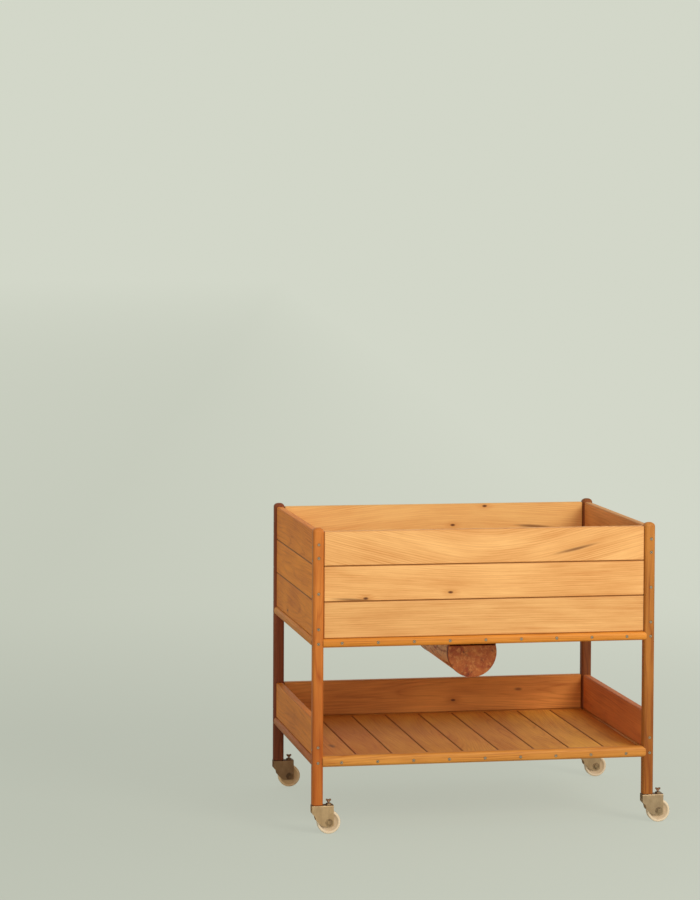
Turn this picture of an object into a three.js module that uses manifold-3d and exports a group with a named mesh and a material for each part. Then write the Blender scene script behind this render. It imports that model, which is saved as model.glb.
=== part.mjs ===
// A planting box of oiled robinia boards on four posts, with a low-sided shelf below it, a half-round
// copper drip trough under its floor, and four swivel casters with a winged brake screw each.
// Millimetres, +Z up, +X to the right and +Y to the back. The floor is at z = 0, and the origin lies
// on it under the middle of the outline while all four wheels trail to the right.

import * as THREE from 'three';
import { mergeVertices } from 'three/addons/utils/BufferGeometryUtils.js';
import Module from 'manifold-3d';

const wasm = await Module();
wasm.setup();

// ---- Driving dimensions ----

// Clearance between pieces that touch on the real object.
const SEAT = 0.3;

// Clear distances between the posts: the inside of the frame.
const BAY_LENGTH = 904;
const BAY_WIDTH = 620;

// Posts.
const POST = 30;
const POST_CORNER_ROUND = 8;
const POST_CROWN = 11;
const POST_CROWN_HEIGHT = 11;
const POST_CROWN_CORNER_ROUND = 1;
const POST_ABOVE_RIM = 10;

// Rails that tie the posts: as deep as a post, and flush with it. The lower front one carries no
// board, and it is as high as it is deep, so that it stands up past the slats behind it.
const RAIL_HEIGHT = 24.5;
const LOWER_FRONT_RAIL_HEIGHT = 30;
const RAIL_ROUND = 7;
const LOWER_RAIL_UNDERSIDE = 183.5;
const UPPER_RAIL_UNDERSIDE = 510.5;

// Box planks and the low boards around the shelf.
const PLANK_THICKNESS = 20;
const PLANK_SET_BACK = 6;
const PLANK_HEIGHTS = [100.3, 97.2, 94.8];
const SHELF_BOARD_HEIGHT = 101.5;
const BOARD_EASING = 3;

// Slats of the shelf and of the box floor, laid front to back.
const SLAT_COUNT = 9;
const SLAT_GAP = 2.4;
const SLAT_THICKNESS = 20;
const SLAT_EASING = 2;
const SLAT_BELOW_RAIL_TOP = 1;
const FLOOR_BRIDGE = 25;

// Copper drip trough.
const TROUGH_RADIUS = 69;
const TROUGH_LENGTH = 444;
const TROUGH_SHIFT = -10;
const TROUGH_SHEET = 1.4;
const TROUGH_CENTRE_BELOW_FLOOR = 44;
const TROUGH_WRAP = THREE.MathUtils.degToRad(14);
const TROUGH_FLANGE = 18;
const TROUGH_CAP_ABOVE_CENTRE = 16.5;

// Caster wheels and axle bolts.
const WHEEL_RADIUS = 32;
const WHEEL_WIDTH = 20;
const WHEEL_SHOULDER = 3;
const WHEEL_RIM = 6;
const WHEEL_WEB_RECESS = 3;
const WHEEL_HUB_RADIUS = 9;
const AXLE_RADIUS = 4;
const AXLE_COLLAR_RADIUS = 10;
const AXLE_COLLAR = 1.2;
const AXLE_HEAD_RADIUS = 6.5;
const AXLE_HEAD = 2.6;

// Caster forks: sheet steel, with the swivel axis in front of the axle by the trail.
const TRAIL = 32;
const FORK_SHEET = 2.2;
const FORK_BEND = 4;
const FORK_ABOVE_WHEEL = 12.8;
const FORK_BESIDE_WHEEL = 1;
const FORK_BEFORE_SWIVEL = 15.5;
const FORK_BEHIND_AXLE = 12.5;
const FORK_BELOW_AXLE = 11;
const FORK_FRONT_EDGE = 22;
const FORK_SHOULDER_CUT = 9.5;
const FORK_WAIST_ABOVE_AXLE = 5;
const FORK_WAIST_LEAN = 1.8;
const FORK_TOE_BEFORE_AXLE = 18;
const FORK_TOE_ROUND = 7;
const FORK_HEEL_ROUND = 4;

// Swivel pins, screwed up into the posts.
const SWIVEL_PLAY = 0.5;
const PIN_RADIUS = 4;
const PIN_LENGTH_IN_POST = 40;
const PIN_HEAD_RADIUS = 7.5;
const PIN_HEAD = 3;

// Brake screws, with two wings for finger and thumb.
const BRAKE_RADIUS = 2.5;
const BRAKE_TRAVEL = 2.5;
const BRAKE_HEAD_LIFT = 7;
const BRAKE_BOSS_RADIUS = 4;
const BRAKE_BOSS = 4;
const BRAKE_WING_WIDTH = 14.5;
const BRAKE_WING_HEIGHT = 7;
const BRAKE_WING_THICKNESS = 3;
const BRAKE_WING_ROUND = 2;

// Facets of round pieces, as sides of a full turn or of a quarter turn.
const WHEEL_SIDES = 48;
const ROUND_SIDES = 16;
const HEXAGON = 6;
const QUARTER_SIDES = 3;
const TROUGH_SIDES = 28;

// Points closer than this are one corner of a solid.
const SAME_POINT = 1e-4;

// ---- Levels and places worked out from them ----

const RAIL_TOP = { lower: LOWER_RAIL_UNDERSIDE + RAIL_HEIGHT, upper: UPPER_RAIL_UNDERSIDE + RAIL_HEIGHT };
const plankStack = PLANK_HEIGHTS.reduce((sum, height) => sum + height + SEAT, 0);
const BOX_RIM = RAIL_TOP.upper + plankStack;
const POST_TOP = BOX_RIM + POST_ABOVE_RIM;
const FORK_TOP = 2 * WHEEL_RADIUS + FORK_ABOVE_WHEEL + FORK_SHEET;
const POST_FOOT = FORK_TOP + SWIVEL_PLAY;
const POST_X = (BAY_LENGTH + POST) / 2;
const POST_Y = (BAY_WIDTH + POST) / 2;
const PLANK_OUTWARD = POST / 2 - PLANK_SET_BACK - PLANK_THICKNESS / 2;
const PLANK_PAST_POST = Math.max(0, PLANK_SET_BACK + PLANK_THICKNESS - POST);
const FORK_HALF = WHEEL_WIDTH / 2 + FORK_BESIDE_WHEEL + FORK_SHEET;
const FORK_BACK = TRAIL + FORK_BEHIND_AXLE;

// The outline reaches further right than left, because all wheels trail that way.
const reachLeft = POST_X + Math.max(POST / 2, FORK_BEFORE_SWIVEL);
const reachRight = POST_X + Math.max(TRAIL + WHEEL_RADIUS, FORK_BACK, POST / 2);
const ORIGIN_X = (reachRight - reachLeft) / 2;

// ---- Materials ----

const material = (name, color, roughness, metalness = 0) =>
  new THREE.MeshStandardMaterial({ name, color, roughness, metalness });

const LIGHT_ROBINIA = material('light_robinia', 0xe8a864, 0.6);
const POST_ROBINIA = material('post_robinia', 0xc87a3c, 0.6);
const SHELF_ROBINIA = material('shelf_robinia', 0xa8622c, 0.65);
const COPPER = material('copper', 0xa5603c, 0.45, 1);
const STEEL = material('zinc_steel', 0xb09a78, 0.45, 1);
const NYLON = material('nylon', 0xe8dcc4, 0.5);

// ---- Shapes ----

const AXIS_X = new THREE.Vector3(1, 0, 0);
const AXIS_Y = new THREE.Vector3(0, 1, 0);
const AXIS_Z = new THREE.Vector3(0, 0, 1);

// How a drawn section lies: for x it is drawn in Y and Z, for y in X and Z, for z in X and Y.
const SECTION_ALONG = {
  x: new THREE.Matrix4().makeBasis(AXIS_Y, AXIS_Z, AXIS_X),
  y: new THREE.Matrix4().makeBasis(AXIS_X, AXIS_Z, AXIS_Y.clone().negate()),
  z: new THREE.Matrix4(),
};

// A section run along an axis, centred on the origin in that direction.
function run(shape, length, along) {
  const options = { depth: length, bevelEnabled: false, curveSegments: QUARTER_SIDES };
  const geometry = new THREE.ExtrudeGeometry(shape, options);
  geometry.translate(0, 0, -length / 2);
  return geometry.applyMatrix4(SECTION_ALONG[along]);
}

// A closed shape through corners; a corner with a radius r is cut round by a quadratic curve.
function rounded(corners) {
  const shape = new THREE.Shape();
  const place = (i) => new THREE.Vector2(corners[i].x, corners[i].y);
  const count = corners.length;
  for (let i = 0; i < count; i += 1) {
    const here = place(i);
    const before = place((i + count - 1) % count);
    const after = place((i + 1) % count);
    const r = corners[i].r ?? 0;
    const enter = here.clone().add(before.sub(here).setLength(r));
    const leave = here.clone().add(after.sub(here).setLength(r));
    if (i === 0) shape.moveTo(enter.x, enter.y);
    else shape.lineTo(enter.x, enter.y);
    if (r > 0) shape.quadraticCurveTo(here.x, here.y, leave.x, leave.y);
  }
  return shape;
}

function roundedRectangle(width, height, round) {
  const r = Math.min(round, width / 2 - SEAT, height / 2 - SEAT);
  const x = width / 2;
  const y = height / 2;
  return rounded([{ x: -x, y: -y, r }, { x, y: -y, r }, { x, y, r }, { x: -x, y, r }]);
}

// A rectangle, across and up, with its corners cut off at 45 degrees, as a plane takes them off.
function easedRectangle(width, height, cut) {
  const x = width / 2;
  const y = height / 2;
  const points = [
    [-x + cut, -y], [x - cut, -y], [x, -y + cut], [x, y - cut],
    [x - cut, y], [-x + cut, y], [-x, y - cut], [-x, -y + cut],
  ];
  return new THREE.Shape(points.map(([px, py]) => new THREE.Vector2(px, py)));
}

const cylinder = (radius, height, sides) =>
  new THREE.CylinderGeometry(radius, radius, height, sides);

// A round or hexagonal stub about the Z axis that starts at a height.
function uprightStub(radius, from, to, sides = ROUND_SIDES) {
  return cylinder(radius, to - from, sides).rotateX(Math.PI / 2).translate(0, 0, (from + to) / 2);
}

// The same about the Y axis.
function crossStub(radius, from, to, sides = ROUND_SIDES) {
  return cylinder(radius, to - from, sides).translate(0, (from + to) / 2, 0);
}

// ---- Joining and cutting ----

function solid(geometry) {
  const bare = geometry.clone();
  bare.deleteAttribute('normal');
  bare.deleteAttribute('uv');
  const merged = mergeVertices(bare, SAME_POINT);
  return new wasm.Manifold(new wasm.Mesh({
    numProp: 3,
    vertProperties: new Float32Array(merged.attributes.position.array),
    triVerts: new Uint32Array(merged.index.array),
  }));
}

function geometryOf(manifold) {
  const mesh = manifold.getMesh();
  const geometry = new THREE.BufferGeometry();
  geometry.setAttribute('position', new THREE.BufferAttribute(new Float32Array(mesh.vertProperties), 3));
  geometry.setIndex(new THREE.BufferAttribute(new Uint32Array(mesh.triVerts), 1));
  geometry.computeVertexNormals();
  return geometry;
}

const joined = (...geometries) =>
  geometryOf(geometries.map(solid).reduce((whole, piece) => whole.add(piece)));

const cut = (geometry, ...tools) =>
  geometryOf(tools.map(solid).reduce((whole, tool) => whole.subtract(tool), solid(geometry)));

const common = (first, second) => geometryOf(solid(first).intersect(solid(second)));

// ---- Assembly ----

const planter = new THREE.Group();
planter.position.x = -ORIGIN_X;

function add(name, geometry, finish, x, y, z, parent = planter) {
  const mesh = new THREE.Mesh(geometry, finish);
  mesh.name = name;
  mesh.position.set(x, y, z);
  parent.add(mesh);
}

const CORNERS = [
  { name: 'front_left', x: -POST_X, y: -POST_Y },
  { name: 'front_right', x: POST_X, y: -POST_Y },
  { name: 'back_left', x: -POST_X, y: POST_Y },
  { name: 'back_right', x: POST_X, y: POST_Y },
];

// The four sides: what runs along a side lies at its post line, and `inward` points into the box.
const SIDES = [
  { name: 'front', along: 'x', bay: BAY_LENGTH, x: 0, y: -POST_Y, inwardX: 0, inwardY: 1 },
  { name: 'back', along: 'x', bay: BAY_LENGTH, x: 0, y: POST_Y, inwardX: 0, inwardY: -1 },
  { name: 'left', along: 'y', bay: BAY_WIDTH, x: -POST_X, y: 0, inwardX: 1, inwardY: 0 },
  { name: 'right', along: 'y', bay: BAY_WIDTH, x: POST_X, y: 0, inwardX: -1, inwardY: 0 },
];

// ---- Posts ----

// One level of the post: a square with round corners, drawn in by an inset.
function postRing(z, inset) {
  const half = POST / 2 - inset;
  const corner = Math.max(POST_CORNER_ROUND - inset, POST_CROWN_CORNER_ROUND);
  const ring = [];
  for (let quarter = 0; quarter < 4; quarter += 1) {
    const middle = (quarter + 0.5) * Math.PI / 2;
    const cx = Math.sign(Math.cos(middle)) * (half - corner);
    const cy = Math.sign(Math.sin(middle)) * (half - corner);
    for (let step = 0; step <= QUARTER_SIDES; step += 1) {
      const angle = (quarter + step / QUARTER_SIDES) * Math.PI / 2;
      ring.push([cx + corner * Math.cos(angle), cy + corner * Math.sin(angle), z]);
    }
  }
  return ring;
}

// A closed skin over rings of equal count, listed from low to high.
function loft(rings) {
  const count = rings[0].length;
  const last = (rings.length - 1) * count;
  const index = [];
  for (let level = 0; level < rings.length - 1; level += 1) {
    for (let i = 0; i < count; i += 1) {
      const a = level * count + i;
      const b = level * count + (i + 1) % count;
      index.push(a, b, b + count, a, b + count, a + count);
    }
  }
  for (let i = 1; i < count - 1; i += 1) {
    index.push(0, i + 1, i, last, last + i, last + i + 1);
  }
  const geometry = new THREE.BufferGeometry();
  geometry.setAttribute('position', new THREE.Float32BufferAttribute(rings.flat(2), 3));
  geometry.setIndex(index);
  return geometry;
}

function post() {
  const rings = [postRing(POST_FOOT, 0)];
  const crownSteps = QUARTER_SIDES + 1;
  const crown = Math.min(POST_CROWN, POST / 2 - 2 * POST_CROWN_CORNER_ROUND);
  for (let step = 0; step <= crownSteps; step += 1) {
    const angle = step / crownSteps * Math.PI / 2;
    const inset = crown * (1 - Math.cos(angle));
    rings.push(postRing(POST_TOP - POST_CROWN_HEIGHT * (1 - Math.sin(angle)), inset));
  }
  const boreTop = POST_FOOT + PIN_LENGTH_IN_POST + SEAT;
  return cut(loft(rings), uprightStub(PIN_RADIUS + SEAT, POST_FOOT - SEAT, boreTop));
}

for (const corner of CORNERS) {
  add(`post_${corner.name}`, post(), POST_ROBINIA, corner.x, corner.y, 0);
}

// ---- Rails, box planks and low boards: each runs along a side, between two posts ----

function between(side, section, shorter = 0) {
  return run(section, side.bay - 2 * (SEAT + shorter), side.along);
}

function railHeight(level, side) {
  return level === 'lower' && side.name === 'front' ? LOWER_FRONT_RAIL_HEIGHT : RAIL_HEIGHT;
}

for (const [level, underside] of [['upper', UPPER_RAIL_UNDERSIDE], ['lower', LOWER_RAIL_UNDERSIDE]]) {
  for (const side of SIDES) {
    const height = railHeight(level, side);
    const rail = between(side, roundedRectangle(POST, height, RAIL_ROUND));
    const finish = level === 'upper' || side.name === 'front' ? LIGHT_ROBINIA : SHELF_ROBINIA;
    add(`${level}_rail_${side.name}`, rail, finish, side.x, side.y, underside + height / 2);
  }
}

// Boards stand on the rails. Side boards thick enough to pass the posts stop at the front ones.
function addBoard(name, side, underside, height, finish) {
  const shorter = side.along === 'y' ? PLANK_PAST_POST : 0;
  const board = between(side, easedRectangle(PLANK_THICKNESS, height, BOARD_EASING), shorter);
  const x = side.x - side.inwardX * PLANK_OUTWARD;
  const y = side.y - side.inwardY * PLANK_OUTWARD;
  add(name, board, finish, x, y, underside + height / 2);
}

for (const side of SIDES) {
  let underside = RAIL_TOP.upper + SEAT;
  for (const [row, height] of PLANK_HEIGHTS.entries()) {
    addBoard(`box_plank_${side.name}_${row + 1}`, side, underside, height, LIGHT_ROBINIA);
    underside += height + SEAT;
  }
}

for (const side of SIDES.filter(({ name }) => name !== 'front')) {
  addBoard(`shelf_board_${side.name}`, side, RAIL_TOP.lower + SEAT, SHELF_BOARD_HEIGHT, SHELF_ROBINIA);
}

// ---- Slats of the shelf, and the box floor with its slats held together at their ends ----

const slatPitch = BAY_LENGTH / SLAT_COUNT;
const slatLength = BAY_WIDTH - 2 * SEAT;
const slatMiddleBelowRailTop = SLAT_BELOW_RAIL_TOP + SLAT_THICKNESS / 2;

const slatSection = easedRectangle(slatPitch - SLAT_GAP, SLAT_THICKNESS, SLAT_EASING);

for (let i = 0; i < SLAT_COUNT; i += 1) {
  const slat = run(slatSection, slatLength, 'y');
  const x = (i + 0.5) * slatPitch - BAY_LENGTH / 2;
  add(`shelf_slat_${i + 1}`, slat, SHELF_ROBINIA, x, 0, RAIL_TOP.lower - slatMiddleBelowRailTop);
}

function boxFloor() {
  const length = BAY_LENGTH - SLAT_GAP;
  const plate = new THREE.BoxGeometry(length, slatLength, SLAT_THICKNESS);
  const slots = [];
  for (let i = 1; i < SLAT_COUNT; i += 1) {
    const slot = new THREE.BoxGeometry(SLAT_GAP, slatLength - 2 * FLOOR_BRIDGE, SLAT_THICKNESS * 2);
    slots.push(slot.translate(i * slatPitch - BAY_LENGTH / 2, 0, 0));
  }
  return cut(plate, ...slots);
}

add('box_floor', boxFloor(), LIGHT_ROBINIA, 0, 0, RAIL_TOP.upper - slatMiddleBelowRailTop);

// ---- Drip trough ----

const troughFlangeTop = -SEAT;
const troughCentre = -TROUGH_CENTRE_BELOW_FLOOR;
const floorUnderside = RAIL_TOP.upper - SLAT_BELOW_RAIL_TOP - SLAT_THICKNESS;

// Points of the trough's arc at a radius, from its left end down and round to a height on the right.
function troughArc(radius, highest) {
  const wrap = Math.asin(THREE.MathUtils.clamp(highest / radius, -1, 1));
  const points = [];
  for (let step = 0; step <= TROUGH_SIDES; step += 1) {
    const angle = Math.PI - wrap + step / TROUGH_SIDES * (Math.PI + 2 * wrap);
    points.push(new THREE.Vector2(radius * Math.cos(angle), troughCentre + radius * Math.sin(angle)));
  }
  return points;
}

// The sheet: an arc that wraps past the level of its centre, a neck up each side, and a flange.
function troughShell() {
  const inner = TROUGH_RADIUS - TROUGH_SHEET;
  const wrapHeight = TROUGH_RADIUS * Math.sin(TROUGH_WRAP);
  const outerArc = troughArc(TROUGH_RADIUS, wrapHeight);
  const innerArc = troughArc(inner, wrapHeight);
  const neckOut = outerArc.at(-1).x;
  const neckIn = innerArc.at(-1).x;
  const flangeEnd = neckOut + TROUGH_FLANGE;
  const under = troughFlangeTop - TROUGH_SHEET;
  const point = (x, z) => new THREE.Vector2(x, z);
  const outside = [point(-flangeEnd, troughFlangeTop), point(-flangeEnd, under), point(-neckOut, under)];
  const outsideEnd = [point(neckOut, under), point(flangeEnd, under), point(flangeEnd, troughFlangeTop)];
  const insideStart = [point(neckIn, troughFlangeTop)];
  const insideEnd = [point(-neckIn, troughFlangeTop)];
  const inside = [...insideStart, ...innerArc.reverse(), ...insideEnd];
  const outline = [...outside, ...outerArc, ...outsideEnd, ...inside];
  return run(new THREE.Shape(outline), TROUGH_LENGTH, 'y');
}

// A flat end of the same arc, soldered just inside the trough's mouth, lower than the neck.
function troughCap() {
  const outline = troughArc(TROUGH_RADIUS - TROUGH_SHEET - SEAT, TROUGH_CAP_ABOVE_CENTRE);
  return run(new THREE.Shape(outline), TROUGH_SHEET, 'y');
}

add('trough_shell', troughShell(), COPPER, TROUGH_SHIFT, 0, floorUnderside);
const capY = (TROUGH_LENGTH - TROUGH_SHEET) / 2;
add('trough_cap_front', troughCap(), COPPER, TROUGH_SHIFT, -capY, floorUnderside);
add('trough_cap_back', troughCap(), COPPER, TROUGH_SHIFT, capY, floorUnderside);

// ---- Casters ----

// The side of the fork: straight down at the front, drawn in at a waist, with a toe before the axle.
function forkSide() {
  const front = -FORK_BEFORE_SWIVEL;
  const shoulder = FORK_TOP - FORK_FRONT_EDGE;
  const waist = front + FORK_SHOULDER_CUT;
  const bottom = WHEEL_RADIUS - FORK_BELOW_AXLE;
  return rounded([
    { x: front, y: FORK_TOP },
    { x: front, y: shoulder },
    { x: waist, y: shoulder - FORK_SHOULDER_CUT },
    { x: waist + FORK_WAIST_LEAN, y: WHEEL_RADIUS + FORK_WAIST_ABOVE_AXLE },
    { x: TRAIL - FORK_TOE_BEFORE_AXLE, y: bottom, r: FORK_TOE_ROUND },
    { x: FORK_BACK, y: bottom, r: FORK_HEEL_ROUND },
    { x: FORK_BACK, y: FORK_TOP },
  ]);
}

// The sheet bent over the wheel: a channel with two round bends, open below.
function forkChannel() {
  const foot = -SEAT;
  const under = FORK_TOP - FORK_SHEET;
  const inner = FORK_HALF - FORK_SHEET;
  return rounded([
    { x: -FORK_HALF, y: foot },
    { x: -inner, y: foot },
    { x: -inner, y: under, r: FORK_BEND - FORK_SHEET },
    { x: inner, y: under, r: FORK_BEND - FORK_SHEET },
    { x: inner, y: foot },
    { x: FORK_HALF, y: foot },
    { x: FORK_HALF, y: FORK_TOP, r: FORK_BEND },
    { x: -FORK_HALF, y: FORK_TOP, r: FORK_BEND },
  ]);
}

function fork() {
  const span = 2 * (FORK_BACK + FORK_BEFORE_SWIVEL);
  const bent = common(run(forkChannel(), span, 'x'), run(forkSide(), 2 * FORK_HALF + SEAT, 'y'));
  const above = FORK_TOP + SEAT;
  const below = FORK_TOP - FORK_SHEET - SEAT;
  const pinHole = uprightStub(PIN_RADIUS + SEAT, below, above);
  const brakeHole = uprightStub(BRAKE_RADIUS + SEAT, below, above).translate(TRAIL, 0, 0);
  const axleHole = crossStub(AXLE_RADIUS + SEAT, -FORK_HALF - SEAT, FORK_HALF + SEAT);
  return cut(bent, pinHole, brakeHole, axleHole.translate(TRAIL, 0, WHEEL_RADIUS));
}

// The wheel about the Y axis: hub, recessed web and a rim with round shoulders, on a plain bore.
function wheel() {
  const half = WHEEL_WIDTH / 2;
  const web = half - WHEEL_WEB_RECESS;
  const bore = AXLE_RADIUS + SEAT;
  const rimInner = WHEEL_RADIUS - WHEEL_RIM;
  const bulge = WHEEL_SHOULDER * (1 - Math.SQRT1_2);
  const side = [
    [bore, half], [WHEEL_HUB_RADIUS, half], [WHEEL_HUB_RADIUS + WHEEL_WEB_RECESS, web],
    [rimInner - WHEEL_WEB_RECESS, web], [rimInner, half], [WHEEL_RADIUS - WHEEL_SHOULDER, half],
    [WHEEL_RADIUS - bulge, half - bulge], [WHEEL_RADIUS, half - WHEEL_SHOULDER],
  ];
  const mirrored = side.map(([r, y]) => [r, -y]);
  const profile = [...mirrored, ...side.reverse(), mirrored[0]];
  return new THREE.LatheGeometry(profile.map(([r, y]) => new THREE.Vector2(r, y)), WHEEL_SIDES);
}

// A bolt through fork and wheel: a broad collar and a hexagon outside each plate.
function axleBolt() {
  const plate = FORK_HALF + SEAT;
  const collar = plate + AXLE_COLLAR;
  const head = collar + AXLE_HEAD;
  const shank = crossStub(AXLE_RADIUS, -plate - SEAT, plate + SEAT);
  const frontCollar = crossStub(AXLE_COLLAR_RADIUS, -collar, -plate);
  const backCollar = crossStub(AXLE_COLLAR_RADIUS, plate, collar);
  const boltHead = crossStub(AXLE_HEAD_RADIUS, -head, -collar + SEAT, HEXAGON);
  const nut = crossStub(AXLE_HEAD_RADIUS, collar - SEAT, head, HEXAGON);
  return joined(shank, frontCollar, backCollar, boltHead, nut);
}

// The pin: its head under the fork's top plate, its shank up through the plate into the post.
function swivelPin() {
  const headTop = FORK_TOP - FORK_SHEET - SEAT;
  const head = uprightStub(PIN_HEAD_RADIUS, headTop - PIN_HEAD, headTop);
  return joined(head, uprightStub(PIN_RADIUS, headTop - SEAT, POST_FOOT + PIN_LENGTH_IN_POST));
}

// The brake screw: its tip stands its travel above the tread, and its wings lie along the trail.
function brakeScrew() {
  const tip = 2 * WHEEL_RADIUS + BRAKE_TRAVEL + SEAT;
  const head = FORK_TOP + BRAKE_HEAD_LIFT;
  const wings = run(
    roundedRectangle(BRAKE_WING_WIDTH, BRAKE_WING_HEIGHT, BRAKE_WING_ROUND), BRAKE_WING_THICKNESS, 'y',
  );
  const boss = uprightStub(BRAKE_BOSS_RADIUS, head, head + BRAKE_BOSS);
  const shank = uprightStub(BRAKE_RADIUS, tip, head + BRAKE_BOSS / 2);
  const wingMiddle = head + BRAKE_BOSS / 2 + BRAKE_WING_HEIGHT / 2;
  return joined(shank, boss, wings.translate(0, 0, wingMiddle));
}

for (const corner of CORNERS) {
  const caster = new THREE.Group();
  caster.position.set(corner.x, corner.y, 0);
  planter.add(caster);
  add(`swivel_pin_${corner.name}`, swivelPin(), STEEL, 0, 0, 0, caster);
  add(`fork_${corner.name}`, fork(), STEEL, 0, 0, 0, caster);
  add(`axle_bolt_${corner.name}`, axleBolt(), STEEL, TRAIL, 0, WHEEL_RADIUS, caster);
  add(`wheel_${corner.name}`, wheel(), NYLON, TRAIL, 0, WHEEL_RADIUS, caster);
  add(`brake_screw_${corner.name}`, brakeScrew(), STEEL, TRAIL, 0, 0, caster);
}

export default planter;
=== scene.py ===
# A rolling planter of oiled robinia: a planting box on four posts, a low-sided shelf, a copper drip
# trough and four braked casters. Metres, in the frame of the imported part: +X right, +Y back, +Z up.
import math
import random
import bmesh
import bpy
from mathutils import Euler, Matrix, Vector


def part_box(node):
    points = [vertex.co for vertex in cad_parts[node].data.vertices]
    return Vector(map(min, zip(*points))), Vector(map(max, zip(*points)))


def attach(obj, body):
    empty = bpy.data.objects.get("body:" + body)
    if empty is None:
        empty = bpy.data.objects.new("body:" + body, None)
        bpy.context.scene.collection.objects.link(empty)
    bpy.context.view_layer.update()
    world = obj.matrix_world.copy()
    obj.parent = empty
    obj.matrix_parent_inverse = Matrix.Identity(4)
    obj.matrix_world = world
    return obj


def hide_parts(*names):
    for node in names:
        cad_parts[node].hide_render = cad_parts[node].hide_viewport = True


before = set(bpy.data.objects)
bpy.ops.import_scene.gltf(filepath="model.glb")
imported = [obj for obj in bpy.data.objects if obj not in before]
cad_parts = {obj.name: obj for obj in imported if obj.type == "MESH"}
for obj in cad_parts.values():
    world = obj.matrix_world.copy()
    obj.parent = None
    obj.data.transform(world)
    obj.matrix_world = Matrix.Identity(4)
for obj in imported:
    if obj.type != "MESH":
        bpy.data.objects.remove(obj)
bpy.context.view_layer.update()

# ---- Camera ----
# It stands about eight metres off, left of the planter's middle and above its rim, and looks a little
# down and to the right. The posts stay upright in the frame, as a lens moved down on its board has it.
CAMERA_STAND = Vector((-1.88699, -8.10815, 1.73263))
CAMERA_TURN, CAMERA_DIP, CAMERA_ROLL = 0.188089, 0.040688, 0.004618
CAMERA_LENS, CAMERA_FILM, CAMERA_SHIFT = 116.81, 36, -0.14746
CAMERA_SIGHT = 200


def show(thing):
    """Puts an object into the scene."""
    bpy.context.scene.collection.objects.link(thing)
    return thing


camera_data = bpy.data.cameras.new("camera")
camera_data.sensor_fit = "AUTO"
camera_data.sensor_width = CAMERA_FILM
camera_data.lens = CAMERA_LENS
camera_data.shift_y = CAMERA_SHIFT
camera_data.clip_end = CAMERA_SIGHT
camera = show(bpy.data.objects.new("camera", camera_data))
camera.matrix_world = (
    Matrix.Translation(CAMERA_STAND)
    @ Matrix.Rotation(-CAMERA_TURN, 4, "Z")
    @ Matrix.Rotation(math.pi / 2 - CAMERA_DIP, 4, "X")
    @ Matrix.Rotation(CAMERA_ROLL, 4, "Z")
)
bpy.context.scene.camera = camera
bpy.context.scene.view_settings.view_transform = "Standard"

# ---- Floor and backdrop ----
# A pale grey-green studio floor that runs off into a backdrop of the same colour, a little lighter to
# the right. Near the planter it keeps the soft shadow; far off it glows like the backdrop.
FLOOR_NEAR = (0.540, 0.568, 0.480)
BACKDROP = (0.650, 0.679, 0.583)
FLOOR_REACH = 60.0
FLOOR_SIDES = 96
FLOOR_GLOW = 0.78
GLOW_FADE = (1.5, 4.5)
FLOOR_ACROSS = (0.982, -0.187, 0)
ACROSS_START, ACROSS_REACH, ACROSS_LIGHTER = 0.337, 1.4, 0.281
AWAY_START, AWAY_LIGHTER = 0.207, 0.20
BACKDROP_FADE, BACKDROP_LIGHTER = (14.0, 58.0), 0.40


def plug(tree, node, socket, value):
    """Joins a node, one of its outputs or a plain value to a socket. Colours are given opaque."""
    if isinstance(value, bpy.types.Node):
        value = value.outputs[0]
    if isinstance(value, bpy.types.NodeSocket):
        tree.links.new(value, node.inputs[socket])
    elif node.inputs[socket].type == "RGBA":
        node.inputs[socket].default_value = (*value, 1)
    else:
        node.inputs[socket].default_value = value


def put(tree, kind, inputs=None, **settings):
    """Adds a node with its settings and its inputs, which are given by name or by number."""
    node = tree.nodes.new(kind)
    for name, value in settings.items():
        setattr(node, name, value)
    for socket, value in (inputs or {}).items():
        plug(tree, node, socket, value)
    return node


def reckon(tree, operation, *values, clamp=False):
    return put(tree, "ShaderNodeMath", dict(enumerate(values)), operation=operation, use_clamp=clamp)


def times(tree, value, factor):
    return reckon(tree, "MULTIPLY", value, factor)


def scaled(tree, value, factor, added, clamp=False):
    """A value times a factor, with something added to it."""
    return reckon(tree, "MULTIPLY_ADD", value, factor, added, clamp=clamp)


def reckon_vector(tree, operation, *values):
    node = put(tree, "ShaderNodeVectorMath", dict(enumerate(values)), operation=operation)
    return node.outputs["Value" if operation in ("LENGTH", "DOT_PRODUCT") else "Vector"]


def split(tree, vector):
    return put(tree, "ShaderNodeSeparateXYZ", {0: vector}).outputs


def object_place(tree):
    return put(tree, "ShaderNodeTexCoord").outputs["Object"]


def fade(tree, value, start, end, low=0.0, high=1.0):
    """Runs smoothly from low to high while a value runs from start to end."""
    inputs = {"Value": value, "From Min": start, "From Max": end, "To Min": low, "To Max": high}
    return put(tree, "ShaderNodeMapRange", inputs, interpolation_type="SMOOTHSTEP")


def blend(tree, share, first, second):
    node = put(tree, "ShaderNodeMix", data_type="RGBA")
    for socket, value in ((0, share), (6, first), (7, second)):
        plug(tree, node, socket, value)
    return node.outputs[2]


def new_material(name):
    """An empty node material: its tree, and its shader, which is joined to the output."""
    material = bpy.data.materials.new(name)
    material.use_nodes = True
    tree = material.node_tree
    return material, tree, tree.nodes["Principled BSDF"]


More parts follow.
